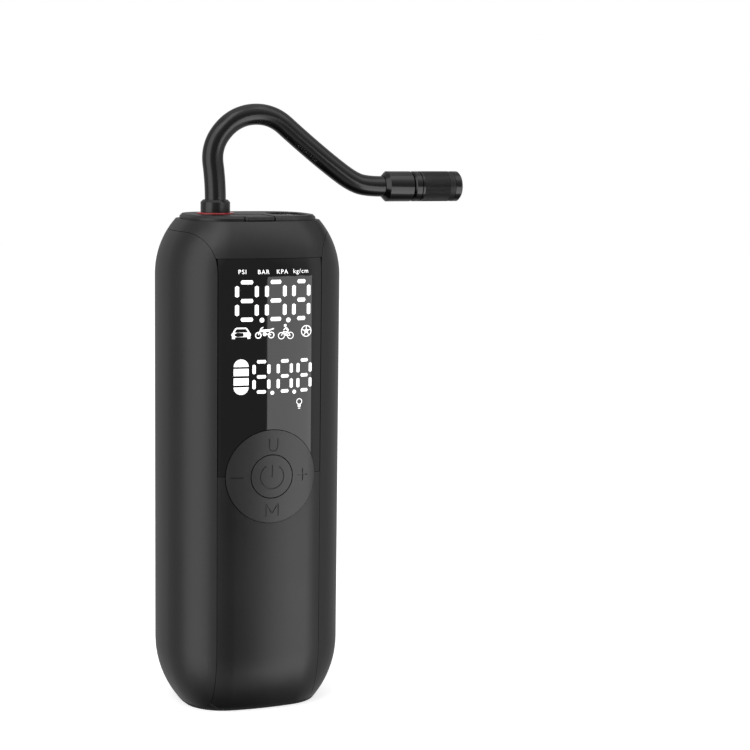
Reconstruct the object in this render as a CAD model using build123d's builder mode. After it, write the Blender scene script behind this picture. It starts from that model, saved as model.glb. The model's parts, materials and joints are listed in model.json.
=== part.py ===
# Portable tire inflator: a hand-sized upright body that holds cells, motor, crank pump,
# display and keys, with a short stiff air hose and a screw-on valve chuck.
# Millimetres. +Z is up, -Y is the front with the display, +X is the side the chuck points to.
# The origin is on the standing surface, under the middle of the body.

from build123d import *
import os
from math import asin, degrees, pi, radians, tan

os.makedirs("parts", exist_ok=True)

# Body
body_width = 69.1
body_depth = 58.1
body_height = 186.0
face_radius = 99.0  # the broad front and back arcs of the outline
side_radius = 60.0
corner_radius = 24.0
shoulder_rise = 21.0  # height over which the body draws in towards the top rim
shoulder_radius = 32.0
base_rise = 24.0
base_radius = 37.8
wall = 2.4
floor_thickness = 2.0
pad_thickness = 1.2
ring_band = 13.5  # how far in from the outline the swept wall of the body shape reaches

# Seam between the front and rear shells
seam_gap = 0.15
strip_half_width = 20.3
arch_drop = 4.0  # from the top rim down to the crown of the seam's arch
arch_rise = 13.5
arch_reach = 29.0
seam_depth = 10.0
sole_depth = 19.0  # the strip's foot stays in front of this depth
sole_height = 7.0

# Top cap
rim_margin = 9.2  # from the outline to the cap opening
ledge_width = 1.6
ledge_depth = 3.2  # from the top rim to the underside of the ledge
cap_sink = 1.4  # from the top rim down to the cap's seat
cap_thickness = 3.3
cap_gap = 0.15
cap_chamfer = 0.9

# Hose port and hose
port_x = -12.2
port_y = 2.0
stub_radius = 3.2
stub_rise = 2.1
collar_radius = 5.6
collar_rise = 5.3  # from the cap's top to the collar's top
accent_radius = 7.1
accent_thickness = 0.5
hose_radius = 4.0
hose_points = [
    (0.0, 0.0),
    (0.0, 6.6),
    (-2.7, 20.6),
    (7.8, 31.6),
    (22.2, 32.7),
    (33.4, 23.3),
    (45.6, 13.7),
    (56.0, 6.4),
    (62.6, 4.8),
    (68.5, 4.8),
]  # side view from the collar's top, as (x, z), in the plane of the port
arc_share = 0.45

# Valve chuck, along +X from the hose's end
chuck_radius = 5.9
ferrule_length = 11.9
swivel_gap = 0.25
sleeve_length = 20.1
seal_groove_width = 1.7
nose_length = 3.0
valve_thread_radius = 3.85
valve_thread_depth = 8.0
gasket_thickness = 2.0
gasket_sink = 0.3  # the gasket and the depressor end short of the thread
depressor_radius = 0.8

# Display window and module
window_foot = 0.3  # from the keys' centre to the window's lower edge
window_drop = 13.1  # from the top rim to the window's upper edge
window_thickness = 1.2
window_gap = 0.05
display_foot = 20.2
display_drop = 1.9
display_half_width = 16.5
display_back_gap = 0.3

# Main circuit board
board_setback = 9.05  # from the front of the body to the board's face
board_thickness = 1.2
board_half_width = 17.0
board_foot = 28.0  # from the keys' centre down to the board's lower edge
board_drop = 7.8
board_post_radius = 2.2

# Keys
key_z = 91.5
ring_radius = 17.5
ring_bore = 8.35
ring_proud = 0.35
key_gap = 0.25
power_radius = 8.0
key_travel_room = 3.0  # from the key ring's back to the board's face
ring_flange = 0.9
pad_front_gap = 0.42
pad_sheet = 0.8
nub_length = 0.38
switch_inset = 4.5
switch_size = 3.6
switch_height = 0.9

# Port cover, lamp and charging socket
cover_width = 11.5
cover_x = -1.75
cover_setback = 8.75
cover_length = 16.8
cover_thickness = 1.4
cover_sink = 1.8  # from the cap's top to the floor of the cover's pocket
cover_lift = 0.3
lamp_x = 14.6
lamp_y = -2.5
lamp_width = 11.0
lamp_length = 19.0
lamp_corner = 4.5
lens_thickness = 1.5
lens_margin = 0.8
lens_sunk = 0.6
usb_setback = 16.05
usb_width = 8.94
usb_height = 3.26
usb_length = 7.2
usb_board_drop = 6.6  # from the cap's seat to the socket board's underside

# Battery
cell_radius = 9.15
cell_length = 65.0
cell_spacing = 0.9
cell_y = 6.0
cell_low = 12.0
strip_thickness = 0.25
holder_gap = 0.1
inner_gap = 0.3  # clearance of large inner pieces from the shells

# Drive
motor_radius = 13.85
motor_length = 37.0
motor_face = 9.3
motor_z = 103.0
motor_shaft_radius = 1.0
running_gap = 0.04
gear_module = 0.6
pinion_teeth = 10
crank_teeth = 46
gear_x = 12.0
gear_width = 4.0
tooth_backlash = 0.14
plate_thickness = 1.5
crank_radius = 5.0
crank_shaft_radius = 1.5
crank_pin_radius = 1.6
rod_x = 19.55
rod_thickness = 4.5

# Pump
shelf_rise = 15.2  # from the crank's axis to the shelf's underside
cylinder_bore = 8.05
cylinder_radius = 9.9
fin_radius = 12.0
barrel_rise = 38.2  # from the crank's axis to the top of the cylinder
head_height = 6.5
piston_radius = 7.5
piston_height = 6.0
piston_clearance = 0.4
tube_radius = 2.5
tube_bore = 1.6
barb_radius = 1.55
tube_bend = 8.0
sensor_tube_radius = 1.6

# Fasteners
screw_radius = 1.3
screw_head_radius = 2.5
screw_head_height = 2.0
screw_length = 10.0
small_screw_radius = 1.0
small_head_radius = 1.9
small_head_height = 1.4
small_screw_length = 4.5
screw_gap = 0.05
back_screw_x = 22.0
back_screw_drop = 9.0
back_seat_inset = 9.75
sole_screw_x = 10.0
sole_screw_setback = 15.85

# Places that follow from the sizes above
shoulder_z = body_height - shoulder_rise
half_width = body_width / 2
half_depth = body_depth / 2
floor_top = pad_thickness + floor_thickness
arch_height = body_height - arch_drop
arch_start = arch_height - arch_rise
ledge_low = body_height - ledge_depth
cap_seat = body_height - cap_sink
cap_top = cap_seat + cap_thickness
stub_top = cap_top + stub_rise
collar_top = cap_top + collar_rise
window_low = key_z + window_foot
window_high = body_height - window_drop
display_low = window_low + display_foot
display_high = window_high - display_drop
board_face = board_setback - half_depth
board_low = key_z - board_foot
board_high = body_height - board_drop
key_back = board_face - key_travel_room
switch_ring_radius = ring_radius - switch_inset
cover_front = cover_setback - half_depth
cover_back = cover_front + cover_length
cover_floor = cap_top - cover_sink
usb_y = usb_setback - half_depth
usb_board_z = cap_seat - usb_board_drop
cell_pitch = 2 * cell_radius + cell_spacing
back_screw_z = body_height - back_screw_drop
back_seat = half_depth - back_seat_inset
sole_screw_y = sole_screw_setback - half_depth
crank_z = motor_z + gear_module * (pinion_teeth + crank_teeth) / 2
shelf_low = crank_z + shelf_rise
cylinder_top = crank_z + barrel_rise
ring_hole = ring_radius + key_gap
ferrule_start = port_x + hose_points[-1][0]
chuck_z = collar_top + hose_points[-1][1]
sleeve_start = ferrule_start + ferrule_length + swivel_gap
sleeve_end = sleeve_start + sleeve_length
board_back = board_face + board_thickness
shelf_top = shelf_low + plate_thickness
head_top = cylinder_top + head_height


# Body outline: four broad arcs with rounded corners, drawn in by inset
def body_outline(inset, height):
    with BuildSketch(Plane.XY.offset(height)) as outline:
        with Locations((0, half_depth - face_radius)):
            Circle(face_radius - inset)
        with Locations((0, face_radius - half_depth)):
            Circle(face_radius - inset, mode=Mode.INTERSECT)
        with Locations((half_width - side_radius, 0)):
            Circle(side_radius - inset, mode=Mode.INTERSECT)
        with Locations((side_radius - half_width, 0)):
            Circle(side_radius - inset, mode=Mode.INTERSECT)
        fillet(outline.vertices(), corner_radius - inset)
    return outline.sketch


# Body shape: the outline drawn in along one arc at the shoulder and another at the base
def body_shape(inset):
    path = body_outline(inset, 0).face().outer_wire()
    start = path @ 0
    along = path % 0
    outwards = Vector(along.Y, -along.X, 0)
    if outwards.dot(start) < 0:
        outwards = outwards * -1
    side_plane = Plane(origin=start, x_dir=outwards, z_dir=outwards.cross(Vector(0, 0, 1)))
    base_arc = base_radius - inset
    shoulder_arc = shoulder_radius - inset
    base_turn = degrees(asin(base_rise / base_arc))
    shoulder_turn = degrees(asin(shoulder_rise / shoulder_arc))
    with BuildSketch(side_plane) as profile:
        with BuildLine():
            lower = CenterArc((-base_arc, base_rise), base_arc, -base_turn, base_turn)
            upper = CenterArc((-shoulder_arc, shoulder_z), shoulder_arc, 0, shoulder_turn)
            Line(lower @ 1, upper @ 0)
            inner = inset - ring_band
            Polyline(upper @ 1, (inner, body_height), (inner, 0), lower @ 0)
        make_face()
    with BuildPart() as shape:
        sweep(sections=profile.sketch, path=path)
        extrude(to_extrude=body_outline(ring_band - 1, 0), amount=body_height)
    return shape.part


outer_shape = body_shape(0)
cavity_shape = body_shape(wall)
room_shape = body_shape(wall + inner_gap)


def block(x, y, z):
    # A box between two corners, as pairs of lower and upper coordinates
    with BuildPart(Plane.XY.offset(z[0])) as box:
        with Locations(((x[0] + x[1]) / 2, (y[0] + y[1]) / 2)):
            Box(x[1] - x[0], y[1] - y[0], z[1] - z[0], align=(Align.CENTER, Align.CENTER, Align.MIN))
    return box.part


def rod_along(plane, radius, length):
    with BuildPart(plane) as rod:
        Cylinder(radius, length, align=(Align.CENTER, Align.CENTER, Align.MIN))
    return rod.part


def facing(direction, x, y, z):
    return Plane(origin=(x, y, z), z_dir=direction)


def front_region(grow):
    # All that belongs to the front shell: the strip, its arched top corners and the rim band
    with BuildPart() as region:
        with BuildSketch(Plane.XZ.offset(seam_depth)):
            with BuildLine():
                side = strip_half_width + grow
                crown = arch_height - grow
                Line((0, -1), (side, -1))
                Line((side, -1), (side, arch_start))
                corner = EllipticalCenterArc(
                    (arch_reach, arch_start),
                    arch_reach - side,
                    crown - arch_start,
                    start_angle=90,
                    arc_size=90,
                )
                Polyline(corner @ 0, (body_width, crown), (body_width, cap_top), (0, cap_top), (0, -1))
            make_face()
            mirror(about=Plane.YZ)
        extrude(amount=body_depth)
        add(block((-body_width, body_width), (-seam_depth, body_depth), (crown, cap_top)))
        sole = block((-body_width, body_width), (-sole_depth + grow, 0), (-2, sole_height - grow))
        add(sole, mode=Mode.SUBTRACT)
    return region.part


def board_post(x, z):
    # From the front wall to the main board's face
    with BuildPart() as post:
        add(rod_along(facing((0, -1, 0), x, board_face, z), board_post_radius, half_depth))
        add(cavity_shape, mode=Mode.INTERSECT)
    return post.part


def within(shape, piece):
    with BuildPart() as kept:
        add(piece)
        add(shape, mode=Mode.INTERSECT)
    return kept.part


# Solid body without the pad's thickness, and the hollow inside it
with BuildPart() as shell_blank:
    add(outer_shape)
    add(block((-body_width, body_width), (-body_depth, body_depth), (-1, pad_thickness)), mode=Mode.SUBTRACT)

with BuildPart() as hollow:
    add(cavity_shape)
    low = block((-body_width, body_width), (-body_depth, body_depth), (-1, floor_top))
    add(low, mode=Mode.SUBTRACT)
    high = block((-body_width, body_width), (-body_depth, body_depth), (ledge_low, cap_top))
    add(high, mode=Mode.SUBTRACT)

window_box = block(
    (-strip_half_width - 1, strip_half_width + 1), (-body_depth, -seam_depth), (window_low, window_high)
)
with BuildPart() as window_recess:
    add(window_box)
    add(body_shape(window_thickness + window_gap), mode=Mode.SUBTRACT)

key_axis = Plane(origin=(0, -body_depth, key_z), z_dir=(0, 1, 0))
low_post_x = 13.0
high_post_x = 6.0
post_inset = 3.8  # from the board's ends to the posts
board_posts = [(side * low_post_x, board_low + post_inset) for side in (-1, 1)]
board_posts += [(side * high_post_x, board_high - post_inset) for side in (-1, 1)]
back_screws = [(-back_screw_x, back_screw_z), (back_screw_x, back_screw_z)]
sole_screws = [(-sole_screw_x, sole_screw_y), (sole_screw_x, sole_screw_y)]
lug_half = 3.0
lug_depth = 10.5
foot_top = 18.0

# Front shell: front strip with the key and display openings, and the rim that carries the cap
with BuildPart() as front_shell:
    add(shell_blank.part)
    add(hollow.part, mode=Mode.SUBTRACT)
    extrude(
        to_extrude=body_outline(rim_margin + ledge_width, ledge_low - 1),
        amount=body_height,
        mode=Mode.SUBTRACT,
    )
    extrude(to_extrude=body_outline(rim_margin, cap_seat), amount=body_height, mode=Mode.SUBTRACT)
    add(front_region(0), mode=Mode.INTERSECT)
    add(window_recess.part, mode=Mode.SUBTRACT)
    add(rod_along(key_axis, ring_hole, body_depth + board_face), mode=Mode.SUBTRACT)
    display_hole = block(
        (-display_half_width, display_half_width), (-body_depth, board_face), (display_low, display_high)
    )
    add(display_hole, mode=Mode.SUBTRACT)
    for x, z in board_posts:
        add(board_post(x, z))
        pilot = facing((0, -1, 0), x, board_face, z)
        add(rod_along(pilot, small_screw_radius + screw_gap, small_screw_length), mode=Mode.SUBTRACT)
    for x, z in back_screws:
        lug_y = (back_seat - lug_depth, back_seat - 1.9)
        lug = block((x - lug_half, x + lug_half), lug_y, (z - lug_half, ledge_low + 0.5))
        add(within(room_shape, lug))
        pilot = facing((0, -1, 0), x, back_seat, z)
        add(rod_along(pilot, screw_radius + screw_gap, screw_length + 0.5), mode=Mode.SUBTRACT)
    for x, y in sole_screws:
        foot = block((x - lug_half, x + lug_half), (-half_depth, y + lug_half), (sole_height, foot_top))
        add(within(cavity_shape, foot))
        pilot = facing((0, 0, 1), x, y, floor_top)
        add(rod_along(pilot, screw_radius + screw_gap, screw_length + 1.5), mode=Mode.SUBTRACT)
front_shell.part.label = "front_shell"
export_step(front_shell.part, "parts/front_shell.step")


# Rear shell: sides, back and floor, with cooling slots and the seats of the shell screws
slot_count = 7
slot_pitch = 5.0
slot_width = 1.8
slot_length = 26.0
slot_z = 118.0
motor_rib_x = (-22.0, -2.0)
rib_thickness = 2.0
rib_front = 10.0
rib_z = (motor_z - 9.0, motor_z + 9.0)
seat_wall = 1.8
with BuildPart() as rear_shell:
    add(shell_blank.part)
    add(hollow.part, mode=Mode.SUBTRACT)
    add(front_region(seam_gap), mode=Mode.SUBTRACT)
    for x, z in back_screws:
        seat = rod_along(facing((0, 1, 0), x, back_seat - seat_wall, z), screw_head_radius + seat_wall, 12)
        add(within(outer_shape, seat))
        shank = rod_along(facing((0, 1, 0), x, 0, z), screw_radius + 2 * screw_gap, body_depth)
        add(shank, mode=Mode.SUBTRACT)
        head = rod_along(facing((0, 1, 0), x, back_seat, z), screw_head_radius + 0.2, body_depth)
        add(head, mode=Mode.SUBTRACT)
    for x, y in sole_screws:
        seat_top = floor_top + screw_head_height
        seat = rod_along(facing((0, 0, 1), x, y, pad_thickness), screw_head_radius + seat_wall, seat_top)
        add(within(cavity_shape, seat))
        shank = rod_along(facing((0, 0, 1), x, y, 0), screw_radius + 2 * screw_gap, 10)
        add(shank, mode=Mode.SUBTRACT)
        head = rod_along(facing((0, 0, 1), x, y, 0), screw_head_radius + 0.2, floor_top)
        add(head, mode=Mode.SUBTRACT)
    # Ribs that cradle the motor from behind
    for x in motor_rib_x:
        rib = block((x - rib_thickness / 2, x + rib_thickness / 2), (rib_front, half_depth), rib_z)
        add(within(cavity_shape, rib))
    cradle = rod_along(facing((1, 0, 0), -half_width, port_y, motor_z), motor_radius + inner_gap, body_width)
    add(within(cavity_shape, cradle), mode=Mode.SUBTRACT)
    # Cooling slots across the back
    with BuildSketch(Plane.XZ):
        with Locations((0, slot_z)):
            with GridLocations(0, slot_pitch, 1, slot_count):
                SlotOverall(slot_length, slot_width)
    extrude(amount=-body_depth, mode=Mode.SUBTRACT)
rear_shell.part.label = "rear_shell"
export_step(rear_shell.part, "parts/rear_shell.step")

# Base pad: rubber sole under the floor, following the body's curve
with BuildPart() as base_pad:
    sole = block((-body_width, body_width), (-body_depth, body_depth), (0, pad_thickness))
    add(within(outer_shape, sole))
base_pad.part.label = "base_pad"
export_step(base_pad.part, "parts/base_pad.step")


def screw(plane, radius, length, head_radius, head_height):
    # The plane lies under the head and its axis points out of the head
    with BuildPart(plane) as body:
        Cylinder(head_radius, head_height, align=(Align.CENTER, Align.CENTER, Align.MIN))
        Cylinder(radius, length, align=(Align.CENTER, Align.CENTER, Align.MAX))
        with BuildSketch(plane.offset(head_height)):
            Rectangle(head_radius * 1.1, head_radius * 0.28)
            Rectangle(head_radius * 0.28, head_radius * 1.1)
        extrude(amount=-head_height / 2, mode=Mode.SUBTRACT)
    return body.part


# Shell screws: two from the back and two from below
with BuildPart() as shell_screws:
    for x, z in back_screws:
        seat_plane = facing((0, 1, 0), x, back_seat, z)
        add(screw(seat_plane, screw_radius, screw_length, screw_head_radius, screw_head_height))
    for x, y in sole_screws:
        seat_plane = facing((0, 0, -1), x, y, floor_top)
        add(screw(seat_plane, screw_radius, screw_length, screw_head_radius, screw_head_height - 0.2))
shell_screws.part.label = "shell_screws"
export_step(shell_screws.part, "parts/shell_screws.step")

# Top cap: raised plate in the rim, with the hose port, the lamp well and the charging socket
usb_slot_gap = 0.3
usb_post_x = (-9.6, 6.2)
usb_post_y = usb_y + 3.5
well_wall = 1.2
well_low = cap_seat - 4.0
lens_low = cap_top - lens_sunk - lens_thickness


def lamp_sketch(margin, height):
    with BuildSketch(Plane.XY.offset(height)) as sketch:
        with Locations((lamp_x, lamp_y)):
            RectangleRounded(lamp_width + 2 * margin, lamp_length + 2 * margin, lamp_corner + margin)
    return sketch.sketch


with BuildPart() as top_cap:
    extrude(to_extrude=body_outline(rim_margin + cap_gap, cap_seat), amount=cap_top - cap_seat)
    chamfer(top_cap.faces().sort_by(Axis.Z)[-1].edges(), cap_chamfer)
    cover_gap = 0.4
    half_cover = cover_width / 2 + cover_gap
    pocket = block(
        (cover_x - half_cover, cover_x + half_cover), (-half_depth, cover_back + cover_gap), (cover_floor, stub_top)
    )
    add(pocket, mode=Mode.SUBTRACT)
    extrude(to_extrude=lamp_sketch(well_wall, well_low), amount=cap_seat - well_low)
    for x in usb_post_x:
        add(rod_along(facing((0, 0, -1), x, usb_post_y, cap_seat), 1.9, cap_seat - usb_board_z - 1.2))
        pilot = facing((0, 0, -1), x, usb_post_y, cover_floor - 1)
        add(rod_along(pilot, small_screw_radius + screw_gap, 20), mode=Mode.SUBTRACT)
    extrude(to_extrude=lamp_sketch(0, well_low - 1), amount=shoulder_rise, mode=Mode.SUBTRACT)
    extrude(to_extrude=lamp_sketch(lens_margin, lens_low), amount=shoulder_rise, mode=Mode.SUBTRACT)
    port_hole = facing((0, 0, 1), port_x, port_y, cap_seat - 1)
    add(rod_along(port_hole, stub_radius + screw_gap, 20), mode=Mode.SUBTRACT)
    usb_hole = block(
        (cover_x - usb_width / 2 - usb_slot_gap, cover_x + usb_width / 2 + usb_slot_gap),
        (usb_y - usb_height / 2 - usb_slot_gap, usb_y + usb_height / 2 + usb_slot_gap),
        (cap_seat - 1, stub_top),
    )
    add(usb_hole, mode=Mode.SUBTRACT)
    # Snap tabs that reach under the ledge
    for side in (-1, 1):
        tab_x = side * (half_width - rim_margin - ledge_width - 1.0)
        add(block((tab_x - 0.6, tab_x + 0.6), (-3 + port_y, 3 + port_y), (ledge_low - 1.6, cap_seat)))
top_cap.part.label = "top_cap"
export_step(top_cap.part, "parts/top_cap.step")

# Port cover: rubber flap over the charging socket, with a finger tab at its front edge
cover_low = cover_floor + cover_lift
with BuildPart() as port_cover:
    with BuildSketch(Plane.XY.offset(cover_low)):
        with Locations((cover_x, (cover_front + cover_back) / 2)):
            RectangleRounded(cover_width, cover_back - cover_front, 1.2)
    extrude(amount=cover_thickness)
    chamfer(port_cover.faces().sort_by(Axis.Z)[-1].edges(), 0.35)
port_cover.part.label = "port_cover"
export_step(port_cover.part, "parts/port_cover.step")

# Display window: smoked acrylic, flush with the front, notched round the key ring
with BuildPart() as display_window:
    add(outer_shape)
    window = block(
        (-strip_half_width + seam_gap, strip_half_width - seam_gap),
        (-body_depth, -seam_depth),
        (window_low + seam_gap, window_high - seam_gap),
    )
    add(window, mode=Mode.INTERSECT)
    add(body_shape(window_thickness), mode=Mode.SUBTRACT)
    add(rod_along(key_axis, ring_hole, body_depth), mode=Mode.SUBTRACT)
display_window.part.label = "display_window"
export_step(display_window.part, "parts/display_window.step")

# Display module on the main board, just behind the window opening
module_half_width = display_half_width - display_back_gap
with BuildPart() as display_module:
    add(
        block(
            (-module_half_width, module_half_width),
            (-half_depth + window_thickness + 2.4, board_face),
            (display_low + display_back_gap, display_high - display_back_gap),
        )
    )
display_module.part.label = "display_module"
export_step(display_module.part, "parts/display_module.step")

# Main board with its screws
with BuildPart() as main_board:
    add(block((-board_half_width, board_half_width), (board_face, board_back), (board_low, board_high)))
    for x, z in board_posts:
        hole = rod_along(facing((0, 1, 0), x, board_face, z), small_screw_radius + screw_gap, 3)
        add(hole, mode=Mode.SUBTRACT)
main_board.part.label = "main_board"
export_step(main_board.part, "parts/main_board.step")

with BuildPart() as board_screws:
    for x, z in board_posts:
        seat_plane = facing((0, 1, 0), x, board_back, z)
        add(screw(seat_plane, small_screw_radius, small_screw_length, small_head_radius, small_head_height))
board_screws.part.label = "board_screws"
export_step(board_screws.part, "parts/board_screws.step")


def disc(radius, bore, front, back):
    # A ring about the key axis, between two depths
    with BuildPart(Plane(origin=(0, front, key_z), z_dir=(0, 1, 0))) as ring:
        Cylinder(radius, back - front, align=(Align.CENTER, Align.CENTER, Align.MIN))
        if bore:
            Cylinder(bore, back - front, align=(Align.CENTER, Align.CENTER, Align.MIN), mode=Mode.SUBTRACT)
    return ring.part


# Key ring: four-way rocker whose face follows the front's curve
key_face_shape = body_shape(-ring_proud)
key_wall = 1.6
flange_depth = 0.6
with BuildPart() as keypad_ring:
    add(disc(ring_radius, ring_bore, -body_depth, key_back))
    add(key_face_shape, mode=Mode.INTERSECT)
    add(disc(ring_radius + ring_flange, ring_bore + 1.25, key_back - flange_depth, key_back))
    relief_front = -half_depth + 2.9
    add(disc(ring_radius - key_wall, ring_bore + 2.6, relief_front, key_back), mode=Mode.SUBTRACT)
    add(disc(ring_bore + 1.25, 0, key_back - 2.4, key_back), mode=Mode.SUBTRACT)
keypad_ring.part.label = "keypad_ring"
export_step(keypad_ring.part, "parts/keypad_ring.step")

# Power button in the middle of the ring
nub_tip = key_back + pad_front_gap + pad_sheet + nub_length
with BuildPart() as power_button:
    add(disc(power_radius, 0, -body_depth, key_back - 1.0))
    add(key_face_shape, mode=Mode.INTERSECT)
    add(disc(ring_bore + 0.85, 0, key_back - 2.0, key_back - 1.0))
    add(disc(2.0, 0, key_back - 1.5, nub_tip))
power_button.part.label = "power_button"
export_step(power_button.part, "parts/power_button.step")

# Rocker pad: silicone ring between the key ring and its four switches
pad_front = key_back + pad_front_gap
with BuildPart() as rocker_pad:
    add(disc(ring_radius - 0.7, ring_bore + 1.2, pad_front, pad_front + pad_sheet))
    with BuildSketch(Plane(origin=(0, pad_front + pad_sheet, key_z), z_dir=(0, 1, 0))):
        with PolarLocations(switch_ring_radius, 4):
            Circle(1.4)
    extrude(amount=nub_length)
rocker_pad.part.label = "rocker_pad"
export_step(rocker_pad.part, "parts/rocker_pad.step")

# Tact switches: four under the ring and one under the power button
with BuildPart() as tact_switches:
    with BuildSketch(Plane(origin=(0, board_face - switch_height, key_z), z_dir=(0, 1, 0))):
        with PolarLocations(switch_ring_radius, 4, rotate=False):
            Rectangle(switch_size, switch_size)
        Rectangle(switch_size, switch_size)
    extrude(amount=switch_height)
tact_switches.part.label = "tact_switches"
export_step(tact_switches.part, "parts/tact_switches.step")

# Lamp: lens, reflector tray, board and three emitters
lens_gap = 0.1
with BuildPart() as lamp_lens:
    extrude(to_extrude=lamp_sketch(lens_margin - lens_gap, lens_low), amount=lens_thickness)
    chamfer(lamp_lens.faces().sort_by(Axis.Z)[-1].edges(), 0.3)
lamp_lens.part.label = "lamp_lens"
export_step(lamp_lens.part, "parts/lamp_lens.step")

lamp_board_top = well_low - 0.05
led_pitch = 6.0
led_size = 2.8
led_height = 0.7
with BuildPart() as lamp_reflector:
    extrude(to_extrude=lamp_sketch(-lens_gap, well_low + 0.2), amount=lens_low - well_low - 0.4)
    with BuildSketch(Plane.XY.offset(lens_low)) as cups:
        with Locations((lamp_x, lamp_y)):
            with GridLocations(0, led_pitch, 1, 3):
                Circle(2.7)
    extrude(amount=well_low - lens_low, taper=18, mode=Mode.SUBTRACT)
lamp_reflector.part.label = "lamp_reflector"
export_step(lamp_reflector.part, "parts/lamp_reflector.step")

with BuildPart() as lamp_board:
    extrude(to_extrude=lamp_sketch(well_wall, lamp_board_top - board_thickness), amount=board_thickness)
lamp_board.part.label = "lamp_board"
export_step(lamp_board.part, "parts/lamp_board.step")

with BuildPart() as lamp_leds:
    with BuildSketch(Plane.XY.offset(lamp_board_top)):
        with Locations((lamp_x, lamp_y)):
            with GridLocations(0, led_pitch, 1, 3):
                Rectangle(led_size / 2, led_size / 2)
    extrude(amount=led_height)
lamp_leds.part.label = "lamp_leds"
export_step(lamp_leds.part, "parts/lamp_leds.step")

# Charging socket on its small board under the cap
usb_board_top = usb_board_z + board_thickness
with BuildPart() as usb_socket:
    with BuildSketch(Plane.XY.offset(usb_board_top)):
        with Locations((cover_x, usb_y)):
            SlotOverall(usb_width, usb_height)
    extrude(amount=cover_floor - 0.1 - usb_board_top)
    with BuildSketch(Plane.XY.offset(cover_floor - 0.1)):
        with Locations((cover_x, usb_y)):
            SlotOverall(usb_width - 0.6, usb_height - 0.6)
    extrude(amount=-6.2, mode=Mode.SUBTRACT)
    tongue_low = cover_floor - 6.3
    tongue = block(
        (cover_x - 3.3, cover_x + 3.3), (usb_y - 0.35, usb_y + 0.35), (tongue_low, cover_floor - 1.0)
    )
    add(tongue)
usb_socket.part.label = "usb_socket"
export_step(usb_socket.part, "parts/usb_socket.step")

with BuildPart() as usb_board:
    add(block((-12.0, 7.6), (usb_y - 5.4, usb_y + 6.0), (usb_board_z, usb_board_top)))
    for x in usb_post_x:
        hole = rod_along(facing((0, 0, 1), x, usb_post_y, usb_board_z - 1), small_screw_radius + screw_gap, 5)
        add(hole, mode=Mode.SUBTRACT)
usb_board.part.label = "usb_board"
export_step(usb_board.part, "parts/usb_board.step")

with BuildPart() as usb_board_screws:
    for x in usb_post_x:
        seat_plane = facing((0, 0, -1), x, usb_post_y, usb_board_z)
        add(screw(seat_plane, small_screw_radius, small_screw_length, small_head_radius, small_head_height))
usb_board_screws.part.label = "usb_board_screws"
export_step(usb_board_screws.part, "parts/usb_board_screws.step")

# Battery: three cells side by side, held at both ends and joined in series by strips
cell_high = cell_low + cell_length
cell_spots = [(-cell_pitch, cell_y), (0, cell_y), (cell_pitch, cell_y)]
with BuildPart() as battery_cells:
    with BuildSketch(Plane.XY.offset(cell_low)):
        with Locations(cell_spots):
            Circle(cell_radius)
    extrude(amount=cell_length)
battery_cells.part.label = "battery_cells"
export_step(battery_cells.part, "parts/battery_cells.step")

holder_margin = 1.2
holder_grip = 7.0
holder_half_x = cell_pitch + cell_radius + holder_margin
holder_y = (cell_y - cell_radius - holder_margin, cell_y + cell_radius + holder_margin)


def cell_holder(low, high, strips_low):
    with BuildPart() as holder:
        frame = block((-holder_half_x, holder_half_x), holder_y, (low, high))
        add(within(room_shape, frame))
        with BuildSketch(Plane.XY.offset(cell_low)):
            with Locations(cell_spots):
                Circle(cell_radius + holder_gap)
        extrude(amount=cell_length, mode=Mode.SUBTRACT)
        # Channel for the joining strips
        strip_room = block(
            (-cell_pitch - cell_radius, cell_pitch + cell_radius),
            (cell_y - 5, cell_y + 5),
            (strips_low - 0.1, strips_low + strip_thickness + 0.1),
        )
        add(strip_room, mode=Mode.SUBTRACT)
    return holder.part


lower_strip_z = cell_low - strip_thickness
with BuildPart() as lower_cell_holder:
    add(cell_holder(floor_top + inner_gap, cell_low + holder_grip, lower_strip_z))
    hollow_foot = block((-24, 24), (cell_y - 6, cell_y + 6), (0, cell_low - 3))
    add(hollow_foot, mode=Mode.SUBTRACT)
lower_cell_holder.part.label = "lower_cell_holder"
export_step(lower_cell_holder.part, "parts/lower_cell_holder.step")

with BuildPart() as upper_cell_holder:
    add(cell_holder(cell_high - holder_grip, cell_high + 2.4, cell_high))
upper_cell_holder.part.label = "upper_cell_holder"
export_step(upper_cell_holder.part, "parts/upper_cell_holder.step")

strip_width = 8.0
pair_half = cell_pitch / 2 + 4
with BuildPart() as cell_strips:
    for low, middle in ((cell_high, -cell_pitch / 2), (lower_strip_z, cell_pitch / 2)):
        add(
            block(
                (middle - pair_half, middle + pair_half),
                (cell_y - strip_width / 2, cell_y + strip_width / 2),
                (low, low + strip_thickness),
            )
        )
    for low, middle in ((cell_high, cell_pitch), (lower_strip_z, -cell_pitch)):
        add(
            block(
                (middle - 4, middle + 4),
                (cell_y - strip_width / 2, cell_y + strip_width / 2),
                (low, low + strip_thickness),
            )
        )
cell_strips.part.label = "cell_strips"
export_step(cell_strips.part, "parts/cell_strips.step")


def along_x(x, z, y=port_y):
    return facing((1, 0, 0), x, y, z)


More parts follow.
